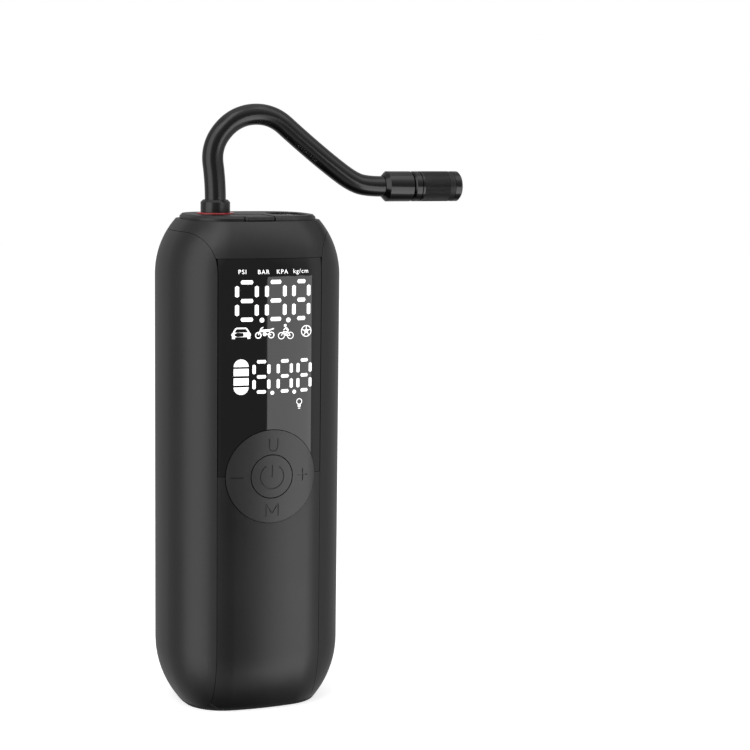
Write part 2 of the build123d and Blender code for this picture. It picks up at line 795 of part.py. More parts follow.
# Motor, lying across the body with its shaft along X
can_wall = 1.0
motor_back = motor_face - motor_length
end_cap_thickness = 3.5
motor_screw_offset = 8.0
shaft_bore = motor_shaft_radius + running_gap
with BuildPart() as motor_can:
    add(rod_along(along_x(motor_back, motor_z), motor_radius, motor_length))
    inside = rod_along(along_x(motor_back, motor_z), motor_radius - can_wall, motor_length - 1.5)
    add(inside, mode=Mode.SUBTRACT)
    add(rod_along(along_x(motor_face - 4.5, motor_z), 3.0, 4.5))
    add(rod_along(along_x(motor_back, motor_z), shaft_bore, motor_length + 1), mode=Mode.SUBTRACT)
    for side in (-1, 1):
        spot = along_x(motor_face - 5, motor_z, port_y + side * motor_screw_offset)
        add(rod_along(spot, small_screw_radius + screw_gap, 6), mode=Mode.SUBTRACT)
motor_can.part.label = "motor_can"
export_step(motor_can.part, "parts/motor_can.step")

with BuildPart() as motor_end_cap:
    add(rod_along(along_x(motor_back, motor_z), motor_radius - can_wall - 0.05, end_cap_thickness))
    add(rod_along(along_x(motor_back, motor_z), shaft_bore, end_cap_thickness), mode=Mode.SUBTRACT)
    for side in (-1, 1):
        terminal_y = port_y + side * 7
        add(
            block(
                (motor_back - 2.6, motor_back + 1),
                (terminal_y - 1.4, terminal_y + 1.4),
                (motor_z - 0.3, motor_z + 0.3),
            )
        )
motor_end_cap.part.label = "motor_end_cap"
export_step(motor_end_cap.part, "parts/motor_end_cap.step")

magnet_inner = 10.4
magnet_x = motor_back + 8
magnet_length = 22.0
with BuildPart() as motor_magnets:
    add(rod_along(along_x(magnet_x, motor_z), motor_radius - can_wall - 0.02, magnet_length))
    add(rod_along(along_x(magnet_x, motor_z), magnet_inner, magnet_length), mode=Mode.SUBTRACT)
    split_z = (motor_z - 5.0, motor_z + 5.0)
    gap_slot = block((magnet_x, magnet_x + magnet_length), (port_y - motor_radius, port_y + motor_radius), split_z)
    add(gap_slot, mode=Mode.SUBTRACT)
motor_magnets.part.label = "motor_magnets"
export_step(motor_magnets.part, "parts/motor_magnets.step")

armature_radius = 9.9
with BuildPart() as armature:
    add(rod_along(along_x(magnet_x + 2, motor_z), armature_radius, magnet_length - 4))
    add(rod_along(along_x(magnet_x, motor_z), armature_radius - 2, magnet_length + 0.5))
    add(rod_along(along_x(motor_back + end_cap_thickness + 0.6, motor_z), 3.4, 6))
    add(rod_along(along_x(motor_back, motor_z), motor_shaft_radius + 0.01, motor_length), mode=Mode.SUBTRACT)
armature.part.label = "armature"
export_step(armature.part, "parts/armature.step")

with BuildPart() as motor_shaft:
    add(rod_along(along_x(motor_back + 1, motor_z), motor_shaft_radius, gear_x + gear_width - motor_back - 0.5))
motor_shaft.part.label = "motor_shaft"
export_step(motor_shaft.part, "parts/motor_shaft.step")


# Spur gear face: straight-flanked teeth about a point of the plane x = plane_x
def gear_face(plane_x, z, teeth, first_tooth):
    pitch_radius = gear_module * teeth / 2
    root = pitch_radius - 1.15 * gear_module
    tip = pitch_radius + 0.85 * gear_module
    half_tooth = gear_module * pi / 4 - tooth_backlash / 2
    flank = tan(radians(20))
    tip_half = half_tooth - (tip - pitch_radius) * flank
    root_half = half_tooth + (pitch_radius - root) * flank * 0.5
    with BuildSketch(Plane(origin=(plane_x, port_y, z), x_dir=(0, 1, 0), z_dir=(1, 0, 0))) as face:
        Circle(root)
        with PolarLocations(0, teeth, start_angle=first_tooth):
            Polygon(
                (root - 0.3, -root_half),
                (pitch_radius, -half_tooth),
                (tip, -tip_half),
                (tip, tip_half),
                (pitch_radius, half_tooth),
                (root - 0.3, root_half),
                align=None,
            )
    return face.sketch


with BuildPart() as pinion:
    extrude(to_extrude=gear_face(gear_x - 0.2, motor_z, pinion_teeth, 90), amount=gear_width + 0.4)
    bore = rod_along(along_x(gear_x - 1, motor_z), motor_shaft_radius + 0.01, gear_width + 2)
    add(bore, mode=Mode.SUBTRACT)
pinion.part.label = "pinion"
export_step(pinion.part, "parts/pinion.step")

gap_angle = 270 + 180 / crank_teeth
with BuildPart() as crank_gear:
    extrude(to_extrude=gear_face(gear_x, crank_z, crank_teeth, gap_angle), amount=gear_width)
    shaft_hole = rod_along(along_x(gear_x - 1, crank_z), crank_shaft_radius + 0.01, gear_width + 2)
    add(shaft_hole, mode=Mode.SUBTRACT)
    pin_hole = rod_along(along_x(gear_x - 1, crank_z + crank_radius), crank_pin_radius + 0.01, gear_width + 2)
    add(pin_hole, mode=Mode.SUBTRACT)
    with BuildSketch(along_x(gear_x + gear_width, crank_z)):
        with PolarLocations(8.6, 6, start_angle=30):
            Circle(1.9)
    extrude(amount=-gear_width, mode=Mode.SUBTRACT)
crank_gear.part.label = "crank_gear"
export_step(crank_gear.part, "parts/crank_gear.step")

with BuildPart() as crank_shaft:
    add(rod_along(along_x(motor_face - 0.6, crank_z), crank_shaft_radius, gear_x + gear_width - motor_face + 0.4))
crank_shaft.part.label = "crank_shaft"
export_step(crank_shaft.part, "parts/crank_shaft.step")

with BuildPart() as crank_pin:
    add(rod_along(along_x(gear_x, crank_z + crank_radius), crank_pin_radius, gear_width + 1.0))
crank_pin.part.label = "crank_pin"
export_step(crank_pin.part, "parts/crank_pin.step")

bush_radius = 2.6
with BuildPart() as crank_bush:
    add(rod_along(along_x(motor_face, crank_z), bush_radius, gear_x - motor_face - 0.3))
    bore = rod_along(along_x(motor_face - 1, crank_z), crank_shaft_radius + running_gap, 6)
    add(bore, mode=Mode.SUBTRACT)
crank_bush.part.label = "crank_bush"
export_step(crank_bush.part, "parts/crank_bush.step")

# Drive frame: bent steel plate that carries motor, crank and cylinder
plate_half_y = 13.0
shelf_reach = 31.0
cylinder_screw_y = 10.9
with BuildPart() as drive_frame:
    add(
        block(
            (motor_face, motor_face + plate_thickness),
            (port_y - plate_half_y, port_y + plate_half_y),
            (motor_z - 11, shelf_top),
        )
    )
    shelf = block((motor_face, shelf_reach), (port_y - plate_half_y, port_y + plate_half_y), (shelf_low, shelf_top))
    add(within(room_shape, shelf))
    add(rod_along(along_x(0, motor_z), 4.4, 20), mode=Mode.SUBTRACT)
    add(rod_along(along_x(0, crank_z), bush_radius + 0.02, 20), mode=Mode.SUBTRACT)
    for side in (-1, 1):
        spot = along_x(0, motor_z, port_y + side * motor_screw_offset)
        add(rod_along(spot, small_screw_radius + screw_gap, 20), mode=Mode.SUBTRACT)
        hole = facing((0, 0, 1), rod_x, port_y + side * cylinder_screw_y, shelf_low - 1)
        add(rod_along(hole, small_screw_radius + screw_gap, 20), mode=Mode.SUBTRACT)
    rod_hole = facing((0, 0, 1), rod_x, port_y, shelf_low - 1)
    add(rod_along(rod_hole, cylinder_bore, 4), mode=Mode.SUBTRACT)
drive_frame.part.label = "drive_frame"
export_step(drive_frame.part, "parts/drive_frame.step")

with BuildPart() as motor_screws:
    for side in (-1, 1):
        spot = along_x(motor_face + plate_thickness, motor_z, port_y + side * motor_screw_offset)
        add(screw(spot, small_screw_radius, small_screw_length, small_head_radius, small_head_height - 0.3))
motor_screws.part.label = "motor_screws"
export_step(motor_screws.part, "parts/motor_screws.step")


def upright(x, y, z):
    return facing((0, 0, 1), x, y, z)


# Pump: finned cylinder with the head above it
fin_count = 5
fin_thickness = 1.4
barrel_height = cylinder_top - shelf_top
with BuildPart() as cylinder_block:
    add(rod_along(upright(rod_x, port_y, shelf_top), cylinder_radius, barrel_height))
    fin_pitch = (barrel_height - fin_thickness) / (fin_count - 1)
    for number in range(fin_count):
        fin_low = shelf_top + number * fin_pitch
        add(rod_along(upright(rod_x, port_y, fin_low), fin_radius, fin_thickness))
    for side in (-1, 1):
        column = upright(rod_x, port_y + side * cylinder_screw_y, shelf_top)
        add(rod_along(column, 2.0, barrel_height))
        add(rod_along(column, small_screw_radius + screw_gap, barrel_height), mode=Mode.SUBTRACT)
    add(rod_along(upright(rod_x, port_y, shelf_top), cylinder_bore, barrel_height), mode=Mode.SUBTRACT)
cylinder_block.part.label = "cylinder_block"
export_step(cylinder_block.part, "parts/cylinder_block.step")

chamber_radius = 3.2
chamber_low = cylinder_top + 1.8
barb_z = cylinder_top + 3.6
barb_tip = 3.0
with BuildPart() as cylinder_head:
    add(rod_along(upright(rod_x, port_y, cylinder_top), fin_radius, head_height))
    add(rod_along(facing((-1, 0, 0), rod_x, port_y, barb_z), barb_radius, rod_x - barb_tip))
    add(rod_along(facing((-1, 0, 0), rod_x, port_y, barb_z), 0.8, rod_x), mode=Mode.SUBTRACT)
    add(rod_along(upright(rod_x, port_y, chamber_low), chamber_radius, head_height), mode=Mode.SUBTRACT)
    add(rod_along(upright(rod_x, port_y, cylinder_top - 1), 1.5, head_height), mode=Mode.SUBTRACT)
    for side in (-1, 1):
        hole = upright(rod_x, port_y + side * cylinder_screw_y, cylinder_top)
        add(rod_along(hole, 2.3, head_height))
        add(rod_along(hole, small_screw_radius + screw_gap, head_height), mode=Mode.SUBTRACT)
cylinder_head.part.label = "cylinder_head"
export_step(cylinder_head.part, "parts/cylinder_head.step")

with BuildPart() as cylinder_screws:
    for side in (-1, 1):
        seat_plane = upright(rod_x, port_y + side * cylinder_screw_y, head_top)
        length = head_top - shelf_low
        add(screw(seat_plane, small_screw_radius, length, small_head_radius, small_head_height))
cylinder_screws.part.label = "cylinder_screws"
export_step(cylinder_screws.part, "parts/cylinder_screws.step")

valve_thickness = 1.0
plug_thickness = 1.6
spring_wire = 0.35
valve_low = chamber_low + 0.02
with BuildPart() as outlet_valve:
    add(rod_along(upright(rod_x, port_y, valve_low), 2.6, valve_thickness))
outlet_valve.part.label = "outlet_valve"
export_step(outlet_valve.part, "parts/outlet_valve.step")

plug_low = head_top - plug_thickness
with BuildPart() as valve_spring:
    spring_low = valve_low + valve_thickness + spring_wire
    spring_height = plug_low - spring_low - spring_wire
    with BuildLine(upright(rod_x, port_y, spring_low)) as coil:
        Helix(spring_height / 3, spring_height, 1.8)
    with BuildSketch(Plane(origin=coil.line @ 0, z_dir=coil.line % 0)):
        Circle(spring_wire)
    sweep(path=coil.line)
valve_spring.part.label = "valve_spring"
export_step(valve_spring.part, "parts/valve_spring.step")

with BuildPart() as valve_plug:
    add(rod_along(upright(rod_x, port_y, plug_low), chamber_radius - 0.03, plug_thickness))
    add(rod_along(upright(rod_x, port_y, head_top), chamber_radius + 1, 1.0))
valve_plug.part.label = "valve_plug"
export_step(valve_plug.part, "parts/valve_plug.step")

# Piston: one-piece rod and piston, seal and retainer, drawn at the top of the stroke
pin_z = crank_z + crank_radius
piston_top = cylinder_top - piston_clearance
piston_low = piston_top - piston_height
retainer_thickness = 0.8
seal_thickness = 1.2
rod_front = gear_x + gear_width + 1.0 + inner_gap
with BuildPart() as piston_rod:
    add(rod_along(along_x(rod_front, pin_z), 4.2, rod_thickness))
    add(rod_along(along_x(rod_front, pin_z), crank_pin_radius + running_gap, rod_thickness), mode=Mode.SUBTRACT)
    add(
        block(
            (rod_front, rod_front + rod_thickness), (port_y - 2.4, port_y + 2.4), (pin_z + 3, piston_low + 0.5)
        )
    )
    crown_height = piston_height - retainer_thickness - seal_thickness
    add(rod_along(upright(rod_x, port_y, piston_low), piston_radius, crown_height))
piston_rod.part.label = "piston_rod"
export_step(piston_rod.part, "parts/piston_rod.step")

seal_low = piston_low + crown_height
with BuildPart() as piston_seal:
    add(rod_along(upright(rod_x, port_y, seal_low), cylinder_bore - 0.03, seal_thickness))
piston_seal.part.label = "piston_seal"
export_step(piston_seal.part, "parts/piston_seal.step")

with BuildPart() as seal_retainer:
    add(rod_along(upright(rod_x, port_y, seal_low + seal_thickness), piston_radius - 1, retainer_thickness))
seal_retainer.part.label = "seal_retainer"
export_step(seal_retainer.part, "parts/seal_retainer.step")

# Hose union under the cap, with the air tube from the pump and the sensor tube to the board
union_low = cap_seat - 11.1
union_radius = 4.0
side_barb_z = cap_seat - 9.6
union_barb_low = barb_z + tube_bend + 0.2
with BuildPart() as hose_union:
    add(rod_along(upright(port_x, port_y, union_low), union_radius, cap_seat - union_low))
    with BuildSketch(Plane.XY.offset(cap_seat - 3.2)):
        with Locations((port_x, port_y)):
            RegularPolygon(5.4, 6)
    extrude(amount=3.2)
    add(rod_along(upright(port_x, port_y, cap_seat), stub_radius, stub_top - cap_seat))
    add(rod_along(upright(port_x, port_y, union_barb_low), barb_radius, union_low - union_barb_low))
    side_barb = facing((0, -1, 0), port_x, port_y, side_barb_z)
    add(rod_along(side_barb, 1.0, 10))
    add(rod_along(upright(port_x, port_y, union_barb_low), 0.9, 40), mode=Mode.SUBTRACT)
hose_union.part.label = "hose_union"
export_step(hose_union.part, "parts/hose_union.step")

tube_start = rod_x - fin_radius - 0.3
with BuildPart() as air_tube:
    with BuildLine() as tube_path:
        FilletPolyline(
            (tube_start, port_y, barb_z),
            (port_x, port_y, barb_z),
            (port_x, port_y, union_low - 0.2),
            radius=tube_bend,
        )
    with BuildSketch(Plane(origin=tube_path.line @ 0, z_dir=tube_path.line % 0)):
        Circle(tube_radius)
        Circle(tube_bore, mode=Mode.SUBTRACT)
    sweep(path=tube_path.line)
air_tube.part.label = "air_tube"
export_step(air_tube.part, "parts/air_tube.step")

sensor_half = 3.2
sensor_depth = 3.0
sensor_front = board_back + sensor_depth
with BuildPart() as pressure_sensor:
    add(
        block(
            (port_x - sensor_half, port_x + sensor_half),
            (board_back, sensor_front),
            (side_barb_z - sensor_half, side_barb_z + sensor_half - 0.2),
        )
    )
    add(rod_along(facing((0, 1, 0), port_x, sensor_front, side_barb_z), 1.0, 4))
pressure_sensor.part.label = "pressure_sensor"
export_step(pressure_sensor.part, "parts/pressure_sensor.step")

with BuildPart() as sensor_tube:
    sensor_tube_length = port_y - union_radius - sensor_front - 0.4
    add(rod_along(facing((0, 1, 0), port_x, sensor_front + 0.2, side_barb_z), sensor_tube_radius, sensor_tube_length))
    through = facing((0, 1, 0), port_x, sensor_front, side_barb_z)
    add(rod_along(through, 1.0 + 0.03, 30), mode=Mode.SUBTRACT)
sensor_tube.part.label = "sensor_tube"
export_step(sensor_tube.part, "parts/sensor_tube.step")

# Accent ring on the cap round the port, and the collar that the hose is crimped in
with BuildPart() as accent_ring:
    add(rod_along(upright(port_x, port_y, cap_top), accent_radius, accent_thickness))
    add(rod_along(upright(port_x, port_y, cap_top), stub_radius + 0.2, accent_thickness), mode=Mode.SUBTRACT)
    chamfer(accent_ring.faces().sort_by(Axis.Z)[-1].edges().sort_by(SortBy.RADIUS)[-1], 0.2)
accent_ring.part.label = "accent_ring"
export_step(accent_ring.part, "parts/accent_ring.step")

collar_low = cap_top + accent_thickness + 0.1
with BuildPart() as hose_collar:
    add(rod_along(upright(port_x, port_y, collar_low), collar_radius, collar_top - collar_low))
    chamfer(hose_collar.faces().sort_by(Axis.Z)[-1].edges(), 0.9)
    add(rod_along(upright(port_x, port_y, collar_low), stub_radius + screw_gap, 3.0), mode=Mode.SUBTRACT)
    add(rod_along(upright(port_x, port_y, collar_low), 2.0, 10), mode=Mode.SUBTRACT)
hose_collar.part.label = "hose_collar"
export_step(hose_collar.part, "parts/hose_collar.step")

# Hose: straight runs joined by tangent arcs, as large as their runs allow
stops = [Vector(port_x + x, port_y, collar_top + z) for x, z in hose_points]
runs = [after - before for before, after in zip(stops, stops[1:])]
bend_radii = []
for before, after in zip(runs, runs[1:]):
    half_turn = radians(before.get_angle(after)) / 2
    bend_radii.append(arc_share * min(before.length, after.length) / tan(half_turn))
print("hose bend radii", [round(radius, 1) for radius in bend_radii])
with BuildPart() as hose:
    with BuildLine() as hose_path:
        FilletPolyline(*stops, radius=bend_radii)
    with BuildSketch(Plane(origin=hose_path.line @ 0, z_dir=hose_path.line % 0)) as hose_section:
        Circle(hose_radius)
    sweep(path=hose_path.line)
hose_length = sum(edge.length for edge in hose_path.line.edges())
print("hose length", round(hose_length, 1))
print("hose volume over section times length", hose.part.volume / (hose_section.sketch.area * hose_length))
hose.part.label = "hose"
export_step(hose.part, "parts/hose.step")

# Valve chuck: ferrule crimped on the hose, sleeve that turns on it, gasket and depressor
swivel_stem = 3.0
swivel_flange = 4.6
socket_floor = sleeve_end - valve_thread_depth
stem_end = socket_floor - gasket_thickness
flange_thickness = 1.2
with BuildPart() as hose_ferrule:
    add(rod_along(along_x(ferrule_start, chuck_z), chuck_radius, ferrule_length))
    chamfer(hose_ferrule.faces().sort_by(Axis.X)[0].edges(), 1.5)
    ends = hose_ferrule.faces().sort_by(Axis.X)[-1].edges()
    chamfer(ends, 0.6)
    stem_start = ferrule_start + ferrule_length - 1
    add(rod_along(along_x(stem_start, chuck_z), swivel_stem, stem_end - stem_start))
    add(rod_along(along_x(stem_end - flange_thickness, chuck_z), swivel_flange, flange_thickness))
    add(rod_along(along_x(ferrule_start + 2, chuck_z), 1.2, 60), mode=Mode.SUBTRACT)
hose_ferrule.part.label = "hose_ferrule"
export_step(hose_ferrule.part, "parts/hose_ferrule.step")

groove_x = sleeve_end - nose_length - seal_groove_width
groove_depth = 0.9
knurl_count = 72
knurl_depth = 0.2
knurl_start = sleeve_start + 3.9
line_groove_x = sleeve_start + 2.7
line_groove_width = 0.4
line_groove_depth = 0.5
with BuildPart() as chuck_sleeve:
    add(rod_along(along_x(sleeve_start, chuck_z), chuck_radius, sleeve_length))
    chamfer(chuck_sleeve.faces().sort_by(Axis.X)[-1].edges(), 0.7)
    chamfer(chuck_sleeve.faces().sort_by(Axis.X)[0].edges(), 0.5)
    with BuildSketch(along_x(knurl_start, chuck_z)):
        with PolarLocations(chuck_radius, knurl_count):
            RegularPolygon(knurl_depth, 4)
    extrude(amount=groove_x - knurl_start - 0.6, mode=Mode.SUBTRACT)
    with BuildSketch(along_x(line_groove_x, chuck_z)):
        Circle(chuck_radius + 1)
        Circle(chuck_radius - line_groove_depth, mode=Mode.SUBTRACT)
    extrude(amount=line_groove_width, mode=Mode.SUBTRACT)
    add(rod_along(along_x(groove_x, chuck_z), chuck_radius + 1, seal_groove_width), mode=Mode.SUBTRACT)
    add(rod_along(along_x(groove_x, chuck_z), chuck_radius - groove_depth, seal_groove_width))
    add(rod_along(along_x(socket_floor, chuck_z), valve_thread_radius, 20), mode=Mode.SUBTRACT)
    room_start = stem_end - flange_thickness - 0.1
    flange_room = rod_along(along_x(room_start, chuck_z), swivel_flange + running_gap, socket_floor - room_start)
    add(flange_room, mode=Mode.SUBTRACT)
    add(rod_along(along_x(sleeve_start, chuck_z), swivel_stem + running_gap, 20), mode=Mode.SUBTRACT)
chuck_sleeve.part.label = "chuck_sleeve"
export_step(chuck_sleeve.part, "parts/chuck_sleeve.step")

with BuildPart() as chuck_seal_ring:
    add(rod_along(along_x(groove_x + 0.1, chuck_z), chuck_radius - 0.05, seal_groove_width - 0.2))
    inner = rod_along(along_x(groove_x, chuck_z), chuck_radius - groove_depth + 0.01, seal_groove_width)
    add(inner, mode=Mode.SUBTRACT)
chuck_seal_ring.part.label = "chuck_seal_ring"
export_step(chuck_seal_ring.part, "parts/chuck_seal_ring.step")

with BuildPart() as valve_gasket:
    add(rod_along(along_x(stem_end + 0.02, chuck_z), valve_thread_radius - 0.1, gasket_thickness - gasket_sink))
    add(rod_along(along_x(stem_end, chuck_z), 1.8, gasket_thickness), mode=Mode.SUBTRACT)
valve_gasket.part.label = "valve_gasket"
export_step(valve_gasket.part, "parts/valve_gasket.step")

with BuildPart() as valve_depressor:
    add(rod_along(along_x(stem_end, chuck_z), 1.7, 0.6))
    add(rod_along(along_x(stem_end, chuck_z), depressor_radius, gasket_thickness - gasket_sink))
    add(rod_along(along_x(stem_end - 3, chuck_z), 1.1, 3))
valve_depressor.part.label = "valve_depressor"
export_step(valve_depressor.part, "parts/valve_depressor.step")
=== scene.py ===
# Portable tire inflator: looks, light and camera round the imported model
import json
import math

import bpy
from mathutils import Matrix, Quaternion, Vector

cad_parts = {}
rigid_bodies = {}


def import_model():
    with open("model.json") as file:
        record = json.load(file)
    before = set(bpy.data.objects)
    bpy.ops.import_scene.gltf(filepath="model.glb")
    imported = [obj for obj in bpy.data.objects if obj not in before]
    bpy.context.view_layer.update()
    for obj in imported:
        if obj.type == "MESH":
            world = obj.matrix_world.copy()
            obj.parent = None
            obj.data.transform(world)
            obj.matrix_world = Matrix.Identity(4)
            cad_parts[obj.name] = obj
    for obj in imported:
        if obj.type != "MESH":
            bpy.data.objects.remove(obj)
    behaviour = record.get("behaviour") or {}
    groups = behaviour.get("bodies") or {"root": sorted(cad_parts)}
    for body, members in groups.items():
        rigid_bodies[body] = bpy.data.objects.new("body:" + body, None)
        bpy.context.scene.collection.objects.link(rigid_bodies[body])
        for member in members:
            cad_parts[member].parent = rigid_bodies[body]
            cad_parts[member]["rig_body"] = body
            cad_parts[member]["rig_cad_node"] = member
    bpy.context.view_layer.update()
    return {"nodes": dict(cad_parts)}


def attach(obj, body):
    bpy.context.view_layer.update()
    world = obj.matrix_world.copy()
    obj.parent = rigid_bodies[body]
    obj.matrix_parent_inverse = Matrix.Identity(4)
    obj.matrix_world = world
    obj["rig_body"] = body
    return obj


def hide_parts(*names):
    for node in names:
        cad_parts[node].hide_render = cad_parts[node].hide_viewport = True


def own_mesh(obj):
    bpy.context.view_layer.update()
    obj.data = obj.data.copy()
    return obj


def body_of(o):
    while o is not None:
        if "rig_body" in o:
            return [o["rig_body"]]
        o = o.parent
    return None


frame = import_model()
nodes = frame["nodes"]
mm = 0.001


# small helpers

def deselectAll():
    if bpy.context.object and bpy.context.object.mode != "OBJECT":
        bpy.ops.object.mode_set(mode="OBJECT")
    bpy.ops.object.select_all(action="DESELECT")


def onlySelect(*objects):
    deselectAll()
    for item in objects:
        item.hide_set(False)
        item.select_set(True)
    bpy.context.view_layer.objects.active = objects[0]


def settle(item):
    # place, turn and size go into the mesh, so the object sits at the origin
    onlySelect(item)
    bpy.ops.object.transform_apply(location=True, rotation=True, scale=True)
    return item


def joinAll(name, pieces):
    onlySelect(*pieces)
    bpy.ops.object.join()
    joined = bpy.context.object
    joined.name = name
    return settle(joined)


def applyModifier(item, kind, **settings):
    modifier = item.modifiers.new(kind.lower(), kind)
    for key, value in settings.items():
        setattr(modifier, key, value)
    onlySelect(item)
    bpy.ops.object.modifier_apply(modifier=modifier.name)
    return item


def mergedCopy(node, name):
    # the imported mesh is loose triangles, so a copy is merged before it is worked on
    onlySelect(nodes[node])
    bpy.ops.object.duplicate()
    copy = bpy.context.object
    copy.name = name
    copy.parent = None
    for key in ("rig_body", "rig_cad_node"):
        if key in copy:
            del copy[key]
    copy.data.materials.clear()
    bpy.ops.object.mode_set(mode="EDIT")
    bpy.ops.mesh.select_all(action="SELECT")
    bpy.ops.mesh.remove_doubles(threshold=0.000002)
    bpy.ops.mesh.customdata_custom_splitnormals_clear()
    bpy.ops.object.mode_set(mode="OBJECT")
    return copy


def selectWhere(item, test):
    # leaves the item in edit mode with the faces that pass the test selected
    onlySelect(item)
    bpy.ops.object.mode_set(mode="EDIT")
    bpy.ops.mesh.select_mode(type="FACE")
    bpy.ops.mesh.select_all(action="DESELECT")
    bpy.ops.object.mode_set(mode="OBJECT")
    for face in item.data.polygons:
        face.select = test(face)
    bpy.ops.object.mode_set(mode="EDIT")


def pickVertices(item, test):
    # leaves the item in edit mode with the vertices that pass the test selected
    onlySelect(item)
    bpy.context.tool_settings.mesh_select_mode = (True, False, False)
    bpy.ops.object.mode_set(mode="EDIT")
    bpy.ops.mesh.select_all(action="DESELECT")
    bpy.ops.object.mode_set(mode="OBJECT")
    for vertex in item.data.vertices:
        vertex.select = test(vertex)
    bpy.ops.object.mode_set(mode="EDIT")


def smooth(item, degrees):
    onlySelect(item)
    bpy.ops.object.shade_smooth_by_angle(angle=math.radians(degrees))
    return item


def linearColour(hexText):
    parts = [int(hexText[i:i + 2], 16) / 255 for i in (1, 3, 5)]
    linear = [c / 12.92 if c <= 0.04045 else ((c + 0.055) / 1.055) ** 2.4 for c in parts]
    return (*linear, 1.0)


def addNode(tree, kind, settings=None, values=None, links=None):
    node = tree.nodes.new(kind)
    for key, value in (settings or {}).items():
        setattr(node, key, value)
    for key, value in (values or {}).items():
        node.inputs[key].default_value = value
    for key, source in (links or {}).items():
        tree.links.new(source, node.inputs[key])
    return node


def newMaterial(name):
    material = bpy.data.materials.new(name)
    material.use_nodes = True
    material.node_tree.nodes.clear()
    return material, material.node_tree


def paint(item, material):
    item.data.materials.clear()
    item.data.materials.append(material)


# camera

cameraSet = {
    "eye": (-0.25198, -0.73196, 0.22733),
    "forward": (0.38176, 0.91518, -0.12924),
    "rollDegrees": 0.73,
    "lens": 97.36,
    "sensor": 36.0,
}
cameraData = bpy.data.cameras.new("camera")
cameraData.lens = cameraSet["lens"]
cameraData.sensor_width = cameraSet["sensor"]
cameraData.clip_start = 0.01
camera = bpy.data.objects.new("camera", cameraData)
bpy.context.scene.collection.objects.link(camera)
camera.location = cameraSet["eye"]
facing = Vector(cameraSet["forward"]).to_track_quat("-Z", "Y")
camera.rotation_mode = "QUATERNION"
camera.rotation_quaternion = facing @ Quaternion((0, 0, 1), math.radians(cameraSet["rollDegrees"]))
bpy.context.scene.camera = camera
print("camera is set")


# finishes

def plasticFinish(look):
    # moulded plastic or a coating on it: fine spark grain in the bump, slow changes in colour and gloss
    material, tree = newMaterial(look["name"])
    place = addNode(tree, "ShaderNodeTexCoord").outputs["Object"]
    grain = addNode(tree, "ShaderNodeTexNoise", values={
        "Scale": 1.0 / (look["grainMm"] * mm), "Detail": 3.0, "Roughness": 0.6}, links={"Vector": place})
    cloud = addNode(tree, "ShaderNodeTexNoise", values={
        "Scale": 1.0 / (look.get("cloudMm", 26.0) * mm), "Detail": 4.0}, links={"Vector": place})
    tint = addNode(tree, "ShaderNodeValToRGB", links={"Fac": cloud.outputs["Fac"]})
    tint.color_ramp.elements[0].position = 0.35
    tint.color_ramp.elements[0].color = linearColour(look["dark"])
    tint.color_ramp.elements[1].position = 0.68
    tint.color_ramp.elements[1].color = linearColour(look["light"])
    gloss = addNode(tree, "ShaderNodeMapRange", values={
        "From Min": 0.3, "From Max": 0.7,
        "To Min": look["roughness"] - look["roughSpread"],
        "To Max": look["roughness"] + look["roughSpread"]}, links={"Value": cloud.outputs["Fac"]})
    bump = addNode(tree, "ShaderNodeBump", values={
        "Strength": look["bump"], "Distance": look["grainDepthMm"] * mm},
        links={"Height": grain.outputs["Fac"]})
    shader = addNode(tree, "ShaderNodeBsdfPrincipled", values={
        "IOR": look.get("ior", 1.5),
        "Sheen Weight": look.get("sheen", 0.0),
        "Sheen Roughness": 0.5,
        "Coat Weight": look.get("coat", 0.0),
        "Coat Roughness": 0.05,
        "Subsurface Weight": look.get("scatter", 0.0),
        "Subsurface Scale": 0.001,
        "Transmission Weight": look.get("clear", 0.0)},
        links={"Base Color": tint.outputs["Color"], "Roughness": gloss.outputs["Result"],
               "Normal": bump.outputs["Normal"]})
    addNode(tree, "ShaderNodeOutputMaterial", links={"Surface": shader.outputs["BSDF"]})
    return material


def metalFinish(look):
    # metal with the marks of how it was worked: a noise stretched along one axis, or left even for cast metal
    material, tree = newMaterial(look["name"])
    place = addNode(tree, "ShaderNodeTexCoord").outputs["Object"]
    mapped = addNode(tree, "ShaderNodeMapping", values={"Scale": look.get("stretch", (1, 1, 1))},
                     links={"Vector": place})
    marks = addNode(tree, "ShaderNodeTexNoise", values={
        "Scale": 1.0 / (look["grainMm"] * mm), "Detail": 4.0, "Roughness": 0.65},
        links={"Vector": mapped.outputs["Vector"]})
    cloud = addNode(tree, "ShaderNodeTexNoise", values={"Scale": 1.0 / (9.0 * mm), "Detail": 3.0},
                    links={"Vector": place})
    tint = addNode(tree, "ShaderNodeValToRGB", links={"Fac": cloud.outputs["Fac"]})
    tint.color_ramp.elements[0].position = 0.3
    tint.color_ramp.elements[0].color = linearColour(look["dark"])
    tint.color_ramp.elements[1].position = 0.7
    tint.color_ramp.elements[1].color = linearColour(look["light"])
    gloss = addNode(tree, "ShaderNodeMapRange", values={
        "From Min": 0.3, "From Max": 0.7,
        "To Min": look["roughness"] - 0.06, "To Max": look["roughness"] + 0.06},
        links={"Value": marks.outputs["Fac"]})
    bump = addNode(tree, "ShaderNodeBump", values={
        "Strength": look["bump"], "Distance": look["grainDepthMm"] * mm},
        links={"Height": marks.outputs["Fac"]})
    shader = addNode(tree, "ShaderNodeBsdfPrincipled", values={
        "Metallic": look.get("metallic", 1.0),
        "Coat Weight": look.get("coat", 0.0),
        "Coat Roughness": 0.12},
        links={"Base Color": tint.outputs["Color"], "Roughness": gloss.outputs["Result"],
               "Normal": bump.outputs["Normal"]})
    addNode(tree, "ShaderNodeOutputMaterial", links={"Surface": shader.outputs["BSDF"]})
    return material


